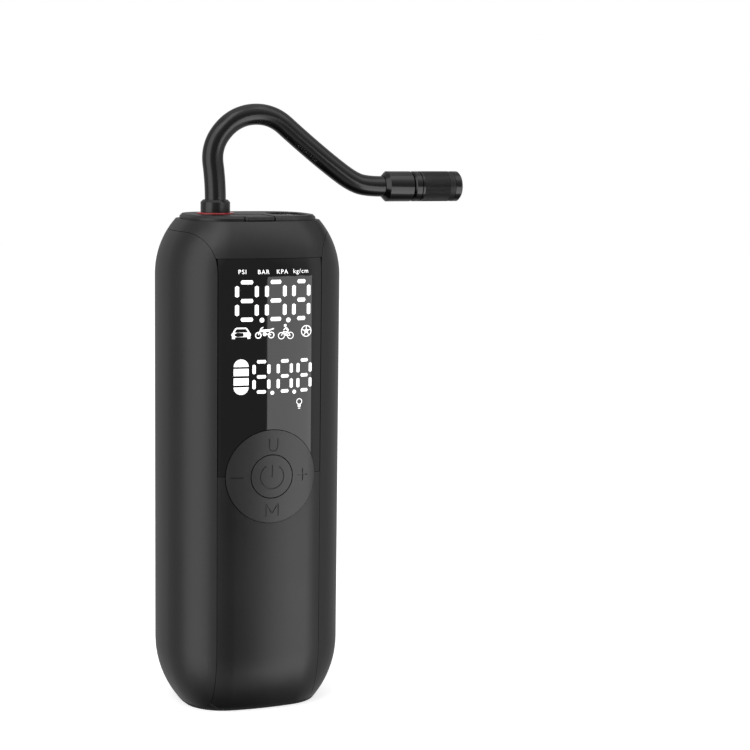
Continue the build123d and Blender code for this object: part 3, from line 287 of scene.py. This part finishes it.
# Soft-touch paint on an ABS housing: matt, a fine dry grain, slightly uneven gloss
softTouchPaint = plasticFinish({
    "name": "softTouchPaintOnAbs", "dark": "#101011", "light": "#141415",
    "grainMm": 0.2, "grainDepthMm": 0.01,
    "bump": 0.25, "roughness": 0.37, "roughSpread": 0.02})
# Moulded ABS with a satin polish, on the cap
satinAbs = plasticFinish({
    "name": "satinMouldedAbs", "dark": "#151516", "light": "#1b1b1c", "grainMm": 0.3, "grainDepthMm": 0.01,
    "bump": 0.3, "roughness": 0.4, "roughSpread": 0.04})
# Keys moulded in ABS with a finer texture than the housing
keyAbs = plasticFinish({
    "name": "fineTexturedKeyAbs", "dark": "#262627", "light": "#2c2c2d",
    "grainMm": 0.16, "grainDepthMm": 0.008,
    "bump": 0.3, "roughness": 0.33, "roughSpread": 0.02})
# Silicone flap: dusty matt rubber
coverSilicone = plasticFinish({
    "name": "mattSiliconeRubber", "dark": "#1a1a1b", "light": "#212122",
    "grainMm": 0.4, "grainDepthMm": 0.015,
    "bump": 0.35, "roughness": 0.52, "roughSpread": 0.04, "sheen": 0.05})
greySilicone = plasticFinish({
    "name": "conductiveSiliconePad", "dark": "#9a9a9b", "light": "#a8a8a8",
    "grainMm": 0.3, "grainDepthMm": 0.01,
    "bump": 0.3, "roughness": 0.6, "roughSpread": 0.05, "scatter": 0.1})
# Smoked cast acrylic: a black, almost mirror-smooth pane
smokedAcrylic = plasticFinish({
    "name": "smokedCastAcrylic", "dark": "#111112", "light": "#131314",
    "grainMm": 6.0, "grainDepthMm": 0.002,
    "bump": 0.02, "roughness": 0.04, "roughSpread": 0.01, "ior": 1.49, "cloudMm": 40.0})
# Nitrile rubber sole with a moulded grain
solePad = plasticFinish({
    "name": "mouldedNitrileRubber", "dark": "#161617", "light": "#1c1c1d",
    "grainMm": 0.7, "grainDepthMm": 0.05,
    "bump": 0.6, "roughness": 0.72, "roughSpread": 0.05})
nitrileSeal = plasticFinish({
    "name": "nitrileSealRubber", "dark": "#0c0c0d", "light": "#111112",
    "grainMm": 0.3, "grainDepthMm": 0.01,
    "bump": 0.3, "roughness": 0.5, "roughSpread": 0.05})
# Extruded rubber hose: black with a soft satin shine
hoseRubber = plasticFinish({
    "name": "extrudedEpdmRubber", "dark": "#0b0b0c", "light": "#0e0e0f",
    "grainMm": 0.5, "grainDepthMm": 0.008,
    "bump": 0.2, "roughness": 0.21, "roughSpread": 0.04})
# Black glass-filled nylon for collars, frames and holders
blackNylon = plasticFinish({
    "name": "glassFilledNylon", "dark": "#0f0f10", "light": "#151516",
    "grainMm": 0.35, "grainDepthMm": 0.012,
    "bump": 0.3, "roughness": 0.22, "roughSpread": 0.04})
whiteNylon = plasticFinish({
    "name": "naturalNylon", "dark": "#d3d0c4", "light": "#dedbd0", "grainMm": 0.4, "grainDepthMm": 0.01,
    "bump": 0.3, "roughness": 0.4, "roughSpread": 0.05, "scatter": 0.2})
# Green solder mask over the weave of the board
solderMask = plasticFinish({
    "name": "greenSolderMask", "dark": "#0d3f20", "light": "#124a27", "grainMm": 0.6, "grainDepthMm": 0.01,
    "bump": 0.4, "roughness": 0.28, "roughSpread": 0.05, "cloudMm": 3.0})
# Heat-shrink film round the cells: wrinkles faintly
shrinkFilm = plasticFinish({
    "name": "blueShrinkFilm", "dark": "#123f78", "light": "#184c8e", "grainMm": 2.5, "grainDepthMm": 0.06,
    "bump": 0.4, "roughness": 0.22, "roughSpread": 0.05})
clearSilicone = plasticFinish({
    "name": "milkySiliconeTube", "dark": "#c9c8c0", "light": "#d6d5ce",
    "grainMm": 0.5, "grainDepthMm": 0.01,
    "bump": 0.2, "roughness": 0.35, "roughSpread": 0.05, "scatter": 0.4})
sinteredFerrite = plasticFinish({
    "name": "sinteredFerrite", "dark": "#2e2d2d", "light": "#3b3a39", "grainMm": 0.15, "grainDepthMm": 0.02,
    "bump": 0.5, "roughness": 0.5, "roughSpread": 0.06})
# Yellow phosphor cast over each light-emitting chip
ledPhosphor = plasticFinish({
    "name": "yellowPhosphorResin", "dark": "#d9bd3c", "light": "#e8cf57",
    "grainMm": 0.2, "grainDepthMm": 0.01,
    "bump": 0.3, "roughness": 0.3, "roughSpread": 0.04, "scatter": 0.3})
# Red polycarbonate ring, tinted through and polished
redPolycarbonate = plasticFinish({
    "name": "redTintedPolycarbonate", "dark": "#8e1520", "light": "#b02430",
    "grainMm": 0.6, "grainDepthMm": 0.004,
    "bump": 0.15, "roughness": 0.2, "roughSpread": 0.04, "scatter": 0.3, "coat": 0.4})
# Frosted clear polycarbonate over the lamp
frostedLens = plasticFinish({
    "name": "frostedLampLens", "dark": "#d9dcde", "light": "#e6e8ea", "grainMm": 0.5, "grainDepthMm": 0.02,
    "bump": 0.3, "roughness": 0.22, "roughSpread": 0.04, "coat": 0.4, "clear": 0.85})
# Black anodised aluminium, turned on a lathe along the chuck's axis
anodisedSatin = metalFinish({
    "name": "blackAnodisedAluminium", "dark": "#0a0a0b", "light": "#0e0e0f", "grainMm": 0.12,
    "stretch": (1.0, 0.15, 0.15), "grainDepthMm": 0.002, "bump": 0.25, "roughness": 0.19, "metallic": 0.0})
# The same anodising over the blunted knurl of the grip, which scatters the light
anodisedKnurl = metalFinish({
    "name": "bluntedKnurledAluminium", "dark": "#161617", "light": "#1c1c1d", "grainMm": 0.25,
    "grainDepthMm": 0.02, "bump": 0.6, "roughness": 0.5, "metallic": 0.0})
# Black oxide on the housing's screws
blackOxide = metalFinish({
    "name": "blackOxideSteel", "dark": "#1b1c1d", "light": "#27282a", "grainMm": 0.3,
    "grainDepthMm": 0.006, "bump": 0.35, "roughness": 0.42, "metallic": 0.8})
# Bright zinc plate on steel: bluish grey with faint spangle
zincPlate = metalFinish({
    "name": "brightZincPlatedSteel", "dark": "#8f9499", "light": "#b4b8bb", "grainMm": 0.5,
    "stretch": (1, 0.3, 1), "grainDepthMm": 0.004, "bump": 0.3, "roughness": 0.34})
groundSteel = metalFinish({
    "name": "groundSteel", "dark": "#a5a8aa", "light": "#c2c5c7", "grainMm": 0.15,
    "stretch": (0.1, 1, 1), "grainDepthMm": 0.002, "bump": 0.25, "roughness": 0.2})
nickelStrip = metalFinish({
    "name": "coldRolledNickel", "dark": "#b3afa6", "light": "#cbc7bd", "grainMm": 0.25,
    "stretch": (0.1, 1, 1), "grainDepthMm": 0.003, "bump": 0.25, "roughness": 0.28})
turnedBrass = metalFinish({
    "name": "turnedBrass", "dark": "#a98b4c", "light": "#c6a763", "grainMm": 0.2,
    "stretch": (1, 1, 0.2), "grainDepthMm": 0.003, "bump": 0.3, "roughness": 0.27})
enamelledCopper = metalFinish({
    "name": "enamelledCopperWire", "dark": "#8a4320", "light": "#a4552b", "grainMm": 0.3,
    "stretch": (0.1, 1, 1), "grainDepthMm": 0.06, "bump": 0.7, "roughness": 0.3, "coat": 0.4})
castAluminium = metalFinish({
    "name": "dieCastAluminium", "dark": "#8a8c8d", "light": "#a9abac", "grainMm": 0.4,
    "grainDepthMm": 0.02, "bump": 0.5, "roughness": 0.48})
metallisedPlastic = metalFinish({
    "name": "metallisedReflector", "dark": "#c9cacb", "light": "#dcdddd", "grainMm": 1.5,
    "grainDepthMm": 0.01, "bump": 0.3, "roughness": 0.14})


def litFinish(look):
    # white ink or resin lit from behind: the light falls off a little in slow clouds
    material, tree = newMaterial(look["name"])
    place = addNode(tree, "ShaderNodeTexCoord").outputs["Object"]
    cloud = addNode(tree, "ShaderNodeTexNoise", values={
        "Scale": 1.0 / (look["cloudMm"] * mm), "Detail": 2.0}, links={"Vector": place})
    glow = addNode(tree, "ShaderNodeMapRange", values={
        "From Min": 0.3, "From Max": 0.7, "To Min": look["glow"] * 0.9, "To Max": look["glow"]},
        links={"Value": cloud.outputs["Fac"]})
    shader = addNode(tree, "ShaderNodeBsdfPrincipled", values={
        "Base Color": linearColour(look["colour"]), "Roughness": 0.5,
        "Emission Color": linearColour(look["colour"])}, links={"Emission Strength": glow.outputs["Result"]})
    addNode(tree, "ShaderNodeOutputMaterial", links={"Surface": shader.outputs["BSDF"]})
    return material


# Segments and icons of the display, lit white from behind the window
litSegment = litFinish({"name": "backlitWhiteSegments", "colour": "#f4f5f6", "glow": 0.95, "cloudMm": 3.0})
print("finishes are made")


# carried-over nodes and their finishes

slotFinishes = [
    ("shell_black", softTouchPaint, ["front_shell", "rear_shell"]),
    ("sole_rubber", solePad, ["base_pad", "port_cover"]),
    ("cap_black", satinAbs, ["top_cap"]),
    ("smoked_acrylic", smokedAcrylic, ["display_window"]),
    ("module_white", whiteNylon, ["display_module"]),
    ("board_green", solderMask, ["main_board", "lamp_board", "usb_board"]),
    ("screw_steel", zincPlate, [
        "board_screws", "shell_screws", "usb_board_screws", "motor_screws", "cylinder_screws"]),
    ("key_black", keyAbs, ["keypad_ring", "power_button"]),
    ("silicone_grey", greySilicone, ["rocker_pad"]),
    ("switch_black", blackNylon, ["tact_switches", "pressure_sensor"]),
    ("lamp_clear", frostedLens, ["lamp_lens"]),
    ("reflector_bright", metallisedPlastic, ["lamp_reflector"]),
    ("led_yellow", ledPhosphor, ["lamp_leds"]),
    ("socket_steel", groundSteel, [
        "usb_socket", "motor_shaft", "crank_shaft", "crank_pin", "valve_spring"]),
    ("cell_wrap", shrinkFilm, ["battery_cells"]),
    ("holder_black", blackNylon, ["lower_cell_holder", "upper_cell_holder", "motor_end_cap"]),
    ("nickel", nickelStrip, ["cell_strips"]),
    ("motor_steel", zincPlate, ["motor_can", "drive_frame"]),
    ("magnet_grey", sinteredFerrite, ["motor_magnets"]),
    ("armature_copper", enamelledCopper, ["armature"]),
    ("gear_brass", turnedBrass, ["pinion", "crank_bush", "valve_plug", "hose_union", "valve_depressor"]),
    ("gear_steel", groundSteel, ["crank_gear"]),
    ("rod_nylon", whiteNylon, ["piston_rod", "seal_retainer"]),
    ("seal_rubber", nitrileSeal, ["piston_seal", "outlet_valve", "chuck_seal_ring", "valve_gasket"]),
    ("cast_aluminium", castAluminium, ["cylinder_block", "cylinder_head"]),
    ("tube_clear", clearSilicone, ["air_tube", "sensor_tube"]),
    ("accent_red", redPolycarbonate, ["accent_ring"]),
    ("chuck_black", anodisedSatin, ["hose_collar", "hose_ferrule", "chuck_sleeve"]),
    ("hose_rubber", hoseRubber, ["hose"]),
]
finishOf = {}
for slotName, finish, names in slotFinishes:
    for node in names:
        finishOf[node] = finish
        if node != "hose":
            paint(nodes[node], finish)
print("carried-over nodes are painted")


def shownCopy(node, name):
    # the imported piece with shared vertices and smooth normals, which takes the node's place
    body = body_of(nodes[node])[0]
    piece = mergedCopy(node, name)
    paint(piece, finishOf[node])
    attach(piece, body)
    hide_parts(node)
    return piece


creaseDegrees = 32
normalWeight = 60


def evenNormals(piece):
    smooth(piece, creaseDegrees)
    return applyModifier(piece, "WEIGHTED_NORMAL", keep_sharp=True, weight=normalWeight)


shownPieces = {
    "front_shell": "frontShell", "rear_shell": "rearShell", "base_pad": "solePiece", "top_cap": "topCap",
    "port_cover": "portCover", "display_window": "displayWindow", "accent_ring": "accentRing",
    "hose_collar": "hoseCollar", "hose_ferrule": "hoseFerrule", "chuck_sleeve": "chuckSleeve",
    "lamp_lens": "lampLens", "shell_screws": "shellScrews",
}
shown = {}
for node, name in shownPieces.items():
    shown[node] = evenNormals(shownCopy(node, name))
paint(shown["port_cover"], coverSilicone)
paint(shown["hose_collar"], blackNylon)
paint(shown["shell_screws"], blackOxide)

# the valve's spring, which shortens under its plug as the valve lifts, gets a smooth copy with a mesh of its
# own
spring = {"liftMm": 1.0, "piece": evenNormals(shownCopy("valve_spring", "valveSpring"))}
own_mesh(spring["piece"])

# the grip of the chuck is knurled, so its faces take the duller finish
grip = {"fromX": 72.35, "toX": 83.85, "axisZ": 198.0, "axisY": 2.0, "inner": 5.3}
sleeve = shown["chuck_sleeve"]
sleeve.data.materials.append(anodisedKnurl)


def onGrip(face):
    x, y, z = (value / mm for value in face.center)
    far = math.hypot(y - grip["axisY"], z - grip["axisZ"])
    return grip["fromX"] < x < grip["toX"] and far > grip["inner"]


selectWhere(sleeve, onGrip)
sleeve.active_material_index = 1
bpy.ops.object.material_slot_assign()
bpy.ops.object.mode_set(mode="OBJECT")
print("smooth pieces are in place")


# flat marks, drawn in mm on a plane before the front (x to the right, z up)

drawing = {"planeY": -36.0, "lift": 0.08, "shortest": 0.01}
faceFront = (math.radians(90), 0, 0)


def atPlane(centre):
    return (centre[0] * mm, drawing["planeY"] * mm, centre[1] * mm)


def layOn(item, target, lift=0.0):
    # the drawing is pressed back onto the piece behind it
    return applyModifier(item, "SHRINKWRAP", target=target, wrap_method="PROJECT", use_project_y=True,
                         use_negative_direction=False, use_positive_direction=True, offset=lift * mm)


def stroke(start, end, width):
    # a bar with pointed ends from start to end
    tip = min(width / math.sqrt(3), math.dist(start, end) / 2 - drawing["shortest"])
    turn = math.atan2(end[0] - start[0], end[1] - start[1])
    deselectAll()
    bpy.ops.mesh.primitive_circle_add(vertices=6, radius=width / math.sqrt(3) * mm, fill_type="NGON")
    bar = bpy.context.object
    pickVertices(bar, lambda vertex: vertex.co.y > 0)
    bpy.ops.transform.translate(value=(0, (math.dist(start, end) - 2 * tip) * mm, 0))
    bpy.ops.object.mode_set(mode="OBJECT")
    bar.rotation_euler = (math.radians(90), turn, 0)
    bar.location = atPlane((start[0] + tip * math.sin(turn), start[1] + tip * math.cos(turn)))
    return bar


def path(points, width):
    return [stroke(a, b, width) for a, b in zip(points, points[1:])]


def disc(centre, radius):
    deselectAll()
    bpy.ops.mesh.primitive_circle_add(vertices=28, radius=radius * mm, fill_type="NGON",
                                      location=atPlane(centre), rotation=faceFront)
    return bpy.context.object


def hoop(centre, radius, width):
    item = disc(centre, radius)
    bpy.ops.object.mode_set(mode="EDIT")
    bpy.ops.mesh.select_all(action="SELECT")
    bpy.ops.mesh.inset(thickness=width * mm)
    bpy.ops.mesh.delete(type="FACE")
    bpy.ops.object.mode_set(mode="OBJECT")
    return item


def plate(left, right, low, high):
    deselectAll()
    bpy.ops.mesh.primitive_plane_add(size=1, rotation=faceFront,
                                     location=atPlane(((left + right) / 2, (low + high) / 2)))
    item = bpy.context.object
    item.scale = ((right - left) * mm, (high - low) * mm, 1)
    return settle(item)


def dome(centre, radius, up):
    # half a disc: the other half is pressed flat onto its diameter
    item = settle(disc(centre, radius))
    level = centre[1] * mm
    pickVertices(item, lambda vertex: (vertex.co.z < level) == up)
    bpy.ops.transform.resize(value=(1, 1, 0), center_override=(0, 0, level))
    bpy.ops.object.mode_set(mode="OBJECT")
    return item


def label(words, centre, size, bold):
    deselectAll()
    bpy.ops.object.text_add(location=atPlane(centre), rotation=faceFront)
    text = bpy.context.object
    text.data.body = words
    text.data.size = size * mm
    text.data.offset = bold * mm
    text.data.space_character = 1.2
    text.data.align_x = "CENTER"
    text.data.align_y = "CENTER"
    text.data.resolution_u = 4
    bpy.ops.object.convert(target="MESH")
    return settle(bpy.context.object)


def digitEight(look, sides):
    # seven bars that read as an eight: three across and two on each side
    low, high = look["low"], look["high"]
    left, right = sides
    middle = (low + high) / 2
    inset = look["inset"]
    bars = [stroke((left + inset, z), (right - inset, z), look["across"]) for z in (low, middle, high)]
    for x in (left, right):
        bars.append(stroke((x, low + inset), (x, middle - inset), look["upright"]))
        bars.append(stroke((x, middle + inset), (x, high - inset), look["upright"]))
    return bars


digitRows = [
    {"low": 150.5, "high": 164.25, "inset": 1.3, "across": 1.5, "upright": 1.5,
     "places": [(-13.6, -6.2), (-2.3, 4.7), (8.4, 14.5)]},
    {"low": 123.5, "high": 134.75, "inset": 1.0, "across": 1.25, "upright": 1.25,
     "places": [(-7.1, -1.4), (2.3, 7.55), (10.3, 15.4)]},
]
decimalPoints = [((-4.2, 150.2), 0.9), ((6.2, 150.0), 0.9), ((0.0, 123.0), 0.75), ((8.8, 123.0), 0.75)]
unitLabels = {"size": 2.25, "bold": 0.015, "places": [
    ("PSI", (-11.6, 168.0)), ("BAR", (-3.6, 167.9)), ("KPA", (3.7, 167.9)), ("kg/cm", (11.2, 168.0))]}
marks = []
for row in digitRows:
    for sides in row["places"]:
        marks += digitEight(row, sides)
marks += [disc(centre, radius) for centre, radius in decimalPoints]
marks += [label(words, centre, unitLabels["size"], unitLabels["bold"])
          for words, centre in unitLabels["places"]]

# small pictures: lines as (points, width), hoops as (centre, radius, width), discs as (centre, radius),
# plates as (left, right, low, high)
carPicture = {
    "lines": [([(-15.7, 144.9), (-8.3, 144.9)], 1.7), ([(-14.0, 147.3), (-10.0, 147.3)], 0.55),
              ([(-14.9, 145.7), (-13.9, 147.3)], 0.55), ([(-9.1, 145.7), (-10.1, 147.3)], 0.55)],
    "plates": [(-15.4, -14.3, 143.4, 144.4), (-9.7, -8.6, 143.4, 144.4)],
}
motorcyclePicture = {
    "hoops": [((-5.55, 144.6), 1.25, 0.4), ((-0.55, 144.6), 1.25, 0.4)],
    "discs": [((-3.1, 145.0), 0.75)],
    "lines": [([(-5.55, 144.6), (-4.5, 147.2), (-3.6, 147.5)], 0.42), ([(-4.7, 146.2), (-1.0, 146.3)], 0.95),
              ([(-1.8, 146.3), (0.5, 147.0)], 0.5), ([(-3.0, 145.0), (-0.6, 144.7)], 0.42)],
}
cyclistPicture = {
    "hoops": [((3.45, 144.2), 1.35, 0.3), ((7.05, 144.2), 1.35, 0.3)],
    "discs": [((4.95, 148.0), 0.55)],
    "lines": [([(3.45, 144.2), (4.2, 145.7), (6.1, 145.5), (7.05, 144.2), (5.3, 144.2), (4.2, 145.7)], 0.3),
              ([(6.3, 146.0), (5.1, 147.3)], 0.75), ([(5.2, 147.1), (4.2, 146.2)], 0.4),
              ([(6.2, 146.0), (5.2, 145.0), (5.4, 144.2)], 0.45)],
}
ballPicture = {"hoops": [((13.6, 145.6), 2.2, 0.35)], "discs": [((13.6, 145.6), 0.75)], "lines": []}
ballSpokes = {"centre": (13.6, 145.6), "count": 5, "from": 0.6, "to": 2.0, "width": 0.34}
for step in range(ballSpokes["count"]):
    turn = math.radians(90 + 360 / ballSpokes["count"] * step)
    x, z = ballSpokes["centre"]
    ends = [(x + far * math.cos(turn), z + far * math.sin(turn))
            for far in (ballSpokes["from"], ballSpokes["to"])]
    ballPicture["lines"].append((ends, ballSpokes["width"]))
lampPicture = {
    "hoops": [((10.9, 119.2), 1.2, 0.3)],
    "plates": [(10.3, 11.5, 117.2, 117.6), (10.45, 11.35, 116.5, 116.85), (10.3, 11.5, 117.6, 118.1)],
}
for picture in (carPicture, motorcyclePicture, cyclistPicture, ballPicture, lampPicture):
    marks += [hoop(*sizes) for sizes in picture.get("hoops", [])]
    marks += [disc(*sizes) for sizes in picture.get("discs", [])]
    for points, width in picture.get("lines", []):
        marks += path(points, width)
    marks += [plate(*edges) for edges in picture.get("plates", [])]

# battery gauge of four bands, the first and last of them rounded
battery = {"centreX": -11.97, "half": 2.8, "bands": [(126.1, 128.8), (129.6, 132.3)], "foot": 125.4,
           "head": 133.0}
marks.append(dome((battery["centreX"], battery["foot"]), battery["half"], False))
marks.append(dome((battery["centreX"], battery["head"]), battery["half"], True))
for low, high in battery["bands"]:
    marks.append(plate(battery["centreX"] - battery["half"], battery["centreX"] + battery["half"], low, high))
display = joinAll("displayMarks", marks)
layOn(display, shown["display_window"], drawing["lift"])
paint(display, litSegment)
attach(display, "body")
print("display marks are laid on the window")


# keys, with their signs cut in

keySigns = {"centreZ": 91.5, "line": 0.5, "deepMm": 0.32, "cutterMm": 1.5}


def cutSigns(node, name, drawn):
    piece = shownCopy(node, name)
    bars = []
    for points in drawn:
        bars += path([(x, z + keySigns["centreZ"]) for x, z in points], keySigns["line"])
    cutter = joinAll(name + "Cutter", bars)
    layOn(cutter, piece)
    cutter.location.y = keySigns["deepMm"] * mm
    settle(cutter)
    applyModifier(cutter, "SOLIDIFY", thickness=keySigns["cutterMm"] * mm, offset=1.0)
    applyModifier(piece, "BOOLEAN", object=cutter, operation="DIFFERENCE", solver="EXACT", use_self=True)
    onlySelect(cutter)
    bpy.ops.object.delete()
    return evenNormals(piece)


# points in mm from the middle of the keys
uShape = {"middleX": 0.45, "half": 1.65, "bowlZ": 11.2, "top": 14.4}
uSign = [(uShape["middleX"] - uShape["half"], uShape["top"])]
for degrees in range(-180, 1, 30):
    turn = math.radians(degrees)
    uSign.append((uShape["middleX"] + uShape["half"] * math.cos(turn),
                  uShape["bowlZ"] + uShape["half"] * math.sin(turn)))
uSign.append((uShape["middleX"] + uShape["half"], uShape["top"]))
mSign = [(-2.4, -15.0), (-2.4, -10.3), (0.0, -13.9), (2.4, -10.3), (2.4, -15.0)]
minusSign = [(-16.0, 0.0), (-11.0, 0.0)]
plusSign = [[(10.3, 0.0), (14.4, 0.0)], [(12.3, -2.4), (12.3, 2.4)]]
cutSigns("keypad_ring", "keypadRing", [uSign, mSign, minusSign, *plusSign])
powerShape = {"radius": 4.6, "openDegrees": 30, "stepDegrees": 15, "barFoot": -0.2, "barHead": 4.5}
powerArc = []
for degrees in range(powerShape["openDegrees"], 361 - powerShape["openDegrees"], powerShape["stepDegrees"]):
    turn = math.radians(degrees)
    powerArc.append((powerShape["radius"] * math.sin(turn), powerShape["radius"] * math.cos(turn)))
powerBar = [(0.0, powerShape["barFoot"]), (0.0, powerShape["barHead"])]
cutSigns("power_button", "powerButton", [powerArc, powerBar])
print("key signs are cut")


# hose

hoseRoute = {
    "points": [(-12.2, 193.2), (-12.2, 199.8), (-14.1, 213.6), (-4.4, 224.8), (10.0, 225.9), (21.2, 216.5),
               (33.4, 206.9), (43.8, 199.6), (50.4, 198.0), (56.3, 198.0)],
    "depthMm": 2.0, "radiusMm": 4.0, "lengthMm": 103.7, "stepsAlong": 32, "stepsRound": 14,
}
hoseCurve = bpy.data.curves.new("airHose", "CURVE")
hoseCurve.dimensions = "3D"
spline = hoseCurve.splines.new("NURBS")
spline.points.add(len(hoseRoute["points"]) - 1)
for point, (x, z) in zip(spline.points, hoseRoute["points"]):
    point.co = (x * mm, hoseRoute["depthMm"] * mm, z * mm, 1)
spline.order_u = 3
spline.use_endpoint_u = True
spline.resolution_u = hoseRoute["stepsAlong"]
hoseCurve.bevel_depth = hoseRoute["radiusMm"] * mm
hoseCurve.bevel_resolution = hoseRoute["stepsRound"]
hoseCurve.use_fill_caps = True
airHose = bpy.data.objects.new("airHose", hoseCurve)
bpy.context.scene.collection.objects.link(airHose)
airHose.data.materials.append(hoseRubber)
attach(airHose, "body")
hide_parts("hose")
print("hose is laid")


# floor, light and world

stageSet = {"radius": 2.6, "edges": 128, "colour": "#ededec", "glow": 0.62, "grainScale": 400.0,
            "grainDepthMm": 0.02}
deselectAll()
bpy.ops.mesh.primitive_circle_add(vertices=stageSet["edges"], radius=stageSet["radius"], fill_type="NGON",
                                  location=(0, 0, 0))
floor = bpy.context.object
floor.name = "paleFloor"
material, tree = newMaterial("palePaintedFloor")
place = addNode(tree, "ShaderNodeTexCoord").outputs["Object"]
grain = addNode(tree, "ShaderNodeTexNoise", values={
    "Scale": stageSet["grainScale"], "Detail": 2.0}, links={"Vector": place})
bump = addNode(tree, "ShaderNodeBump", values={"Strength": 0.1, "Distance": stageSet["grainDepthMm"] * mm},
               links={"Height": grain.outputs["Fac"]})
shader = addNode(tree, "ShaderNodeBsdfPrincipled", values={
    "Base Color": linearColour(stageSet["colour"]), "Roughness": 0.9, "Specular IOR Level": 0.1,
    "Emission Color": (1, 1, 1, 1), "Emission Strength": stageSet["glow"]},
    links={"Normal": bump.outputs["Normal"]})
addNode(tree, "ShaderNodeOutputMaterial", links={"Surface": shader.outputs["BSDF"]})
paint(floor, material)
floor.visible_glossy = False
floor.visible_diffuse = False

# the room is dim in front of the object, brightest at its sides and dark straight below
roomLevels = [(0.0, 0.42), (0.5, 0.5), (0.76, 0.85), (0.82, 0.8), (0.95, 0.26)]
world = bpy.data.worlds.new("studio")
bpy.context.scene.world = world
world.use_nodes = True
tree = world.node_tree
tree.nodes.clear()
direction = addNode(tree, "ShaderNodeTexCoord").outputs["Generated"]
towardsFront = addNode(tree, "ShaderNodeVectorMath", {"operation": "DOT_PRODUCT"}, {1: (0.0, -1.0, 0.0)},
                       {0: direction})
share = addNode(tree, "ShaderNodeMapRange", values={"From Min": -1.0, "From Max": 1.0},
                links={"Value": towardsFront.outputs["Value"]})
room = addNode(tree, "ShaderNodeValToRGB", links={"Fac": share.outputs["Result"]})
for place, strength in roomLevels[1:-1]:
    room.color_ramp.elements.new(place)
for stop, (place, strength) in zip(room.color_ramp.elements, roomLevels):
    stop.position = place
    stop.color = (strength, strength, strength, 1.0)
heights = addNode(tree, "ShaderNodeSeparateXYZ", links={"Vector": direction})
below = addNode(tree, "ShaderNodeMapRange", values={
    "From Min": -0.95, "From Max": -0.72, "To Min": 0.08, "To Max": 1.0},
    links={"Value": heights.outputs["Z"]})
dimmed = addNode(tree, "ShaderNodeMath", {"operation": "MULTIPLY"}, links={
    0: room.outputs["Color"], 1: below.outputs["Result"]})
seen = addNode(tree, "ShaderNodeLightPath")
level = addNode(tree, "ShaderNodeMix", values={"B": 1.0},
                links={"Factor": seen.outputs["Is Camera Ray"], "A": dimmed.outputs["Value"]})
background = addNode(tree, "ShaderNodeBackground", values={"Color": (1, 1, 1, 1)},
                     links={"Strength": level.outputs["Result"]})
addNode(tree, "ShaderNodeOutputWorld", links={"Surface": background.outputs["Background"]})


# azimuth in degrees from the front towards the chuck side, the rest in metres
softboxes = {
    "rightBox": {"azimuth": 31.9, "distance": 0.9, "centreZ": -0.36, "aimZ": -0.36, "size": (0.495, 1.03),
                 "radiance": 2.3},
    "leftBox": {"azimuth": -71.0, "distance": 0.9, "centreZ": 0.45, "aimZ": 0.45, "size": (0.82, 2.2),
                "radiance": 1.2},
    "upperRightBox": {"azimuth": 58.0, "distance": 0.7, "centreZ": 1.05, "aimZ": 0.1, "size": (0.5, 0.9),
                      "radiance": 0.8},
    "upperLeftBox": {"azimuth": -38.0, "distance": 0.6, "centreZ": 1.1, "aimZ": 0.1, "size": (0.45, 0.8),
                     "radiance": 1.5},
    "overheadBox": {"azimuth": 0.0, "distance": 0.001, "centreZ": 1.6, "aimZ": 0.0, "size": (1.4, 1.4),
                    "radiance": 0.35},
}
for name, box in softboxes.items():
    turn = math.radians(box["azimuth"])
    place = Vector((math.sin(turn) * box["distance"], -math.cos(turn) * box["distance"], box["centreZ"]))
    width, height = box["size"]
    data = bpy.data.lights.new(name, "AREA")
    data.shape = "RECTANGLE"
    data.size = width
    data.size_y = height
    data.energy = box["radiance"] * math.pi * width * height
    lamp = bpy.data.objects.new(name, data)
    bpy.context.scene.collection.objects.link(lamp)
    lamp.location = place
    lamp.rotation_mode = "QUATERNION"
    lamp.rotation_quaternion = (Vector((0, 0, box["aimZ"])) - place).to_track_quat("-Z", "Y")
bpy.context.scene.view_settings.view_transform = "Standard"
print("light is set")
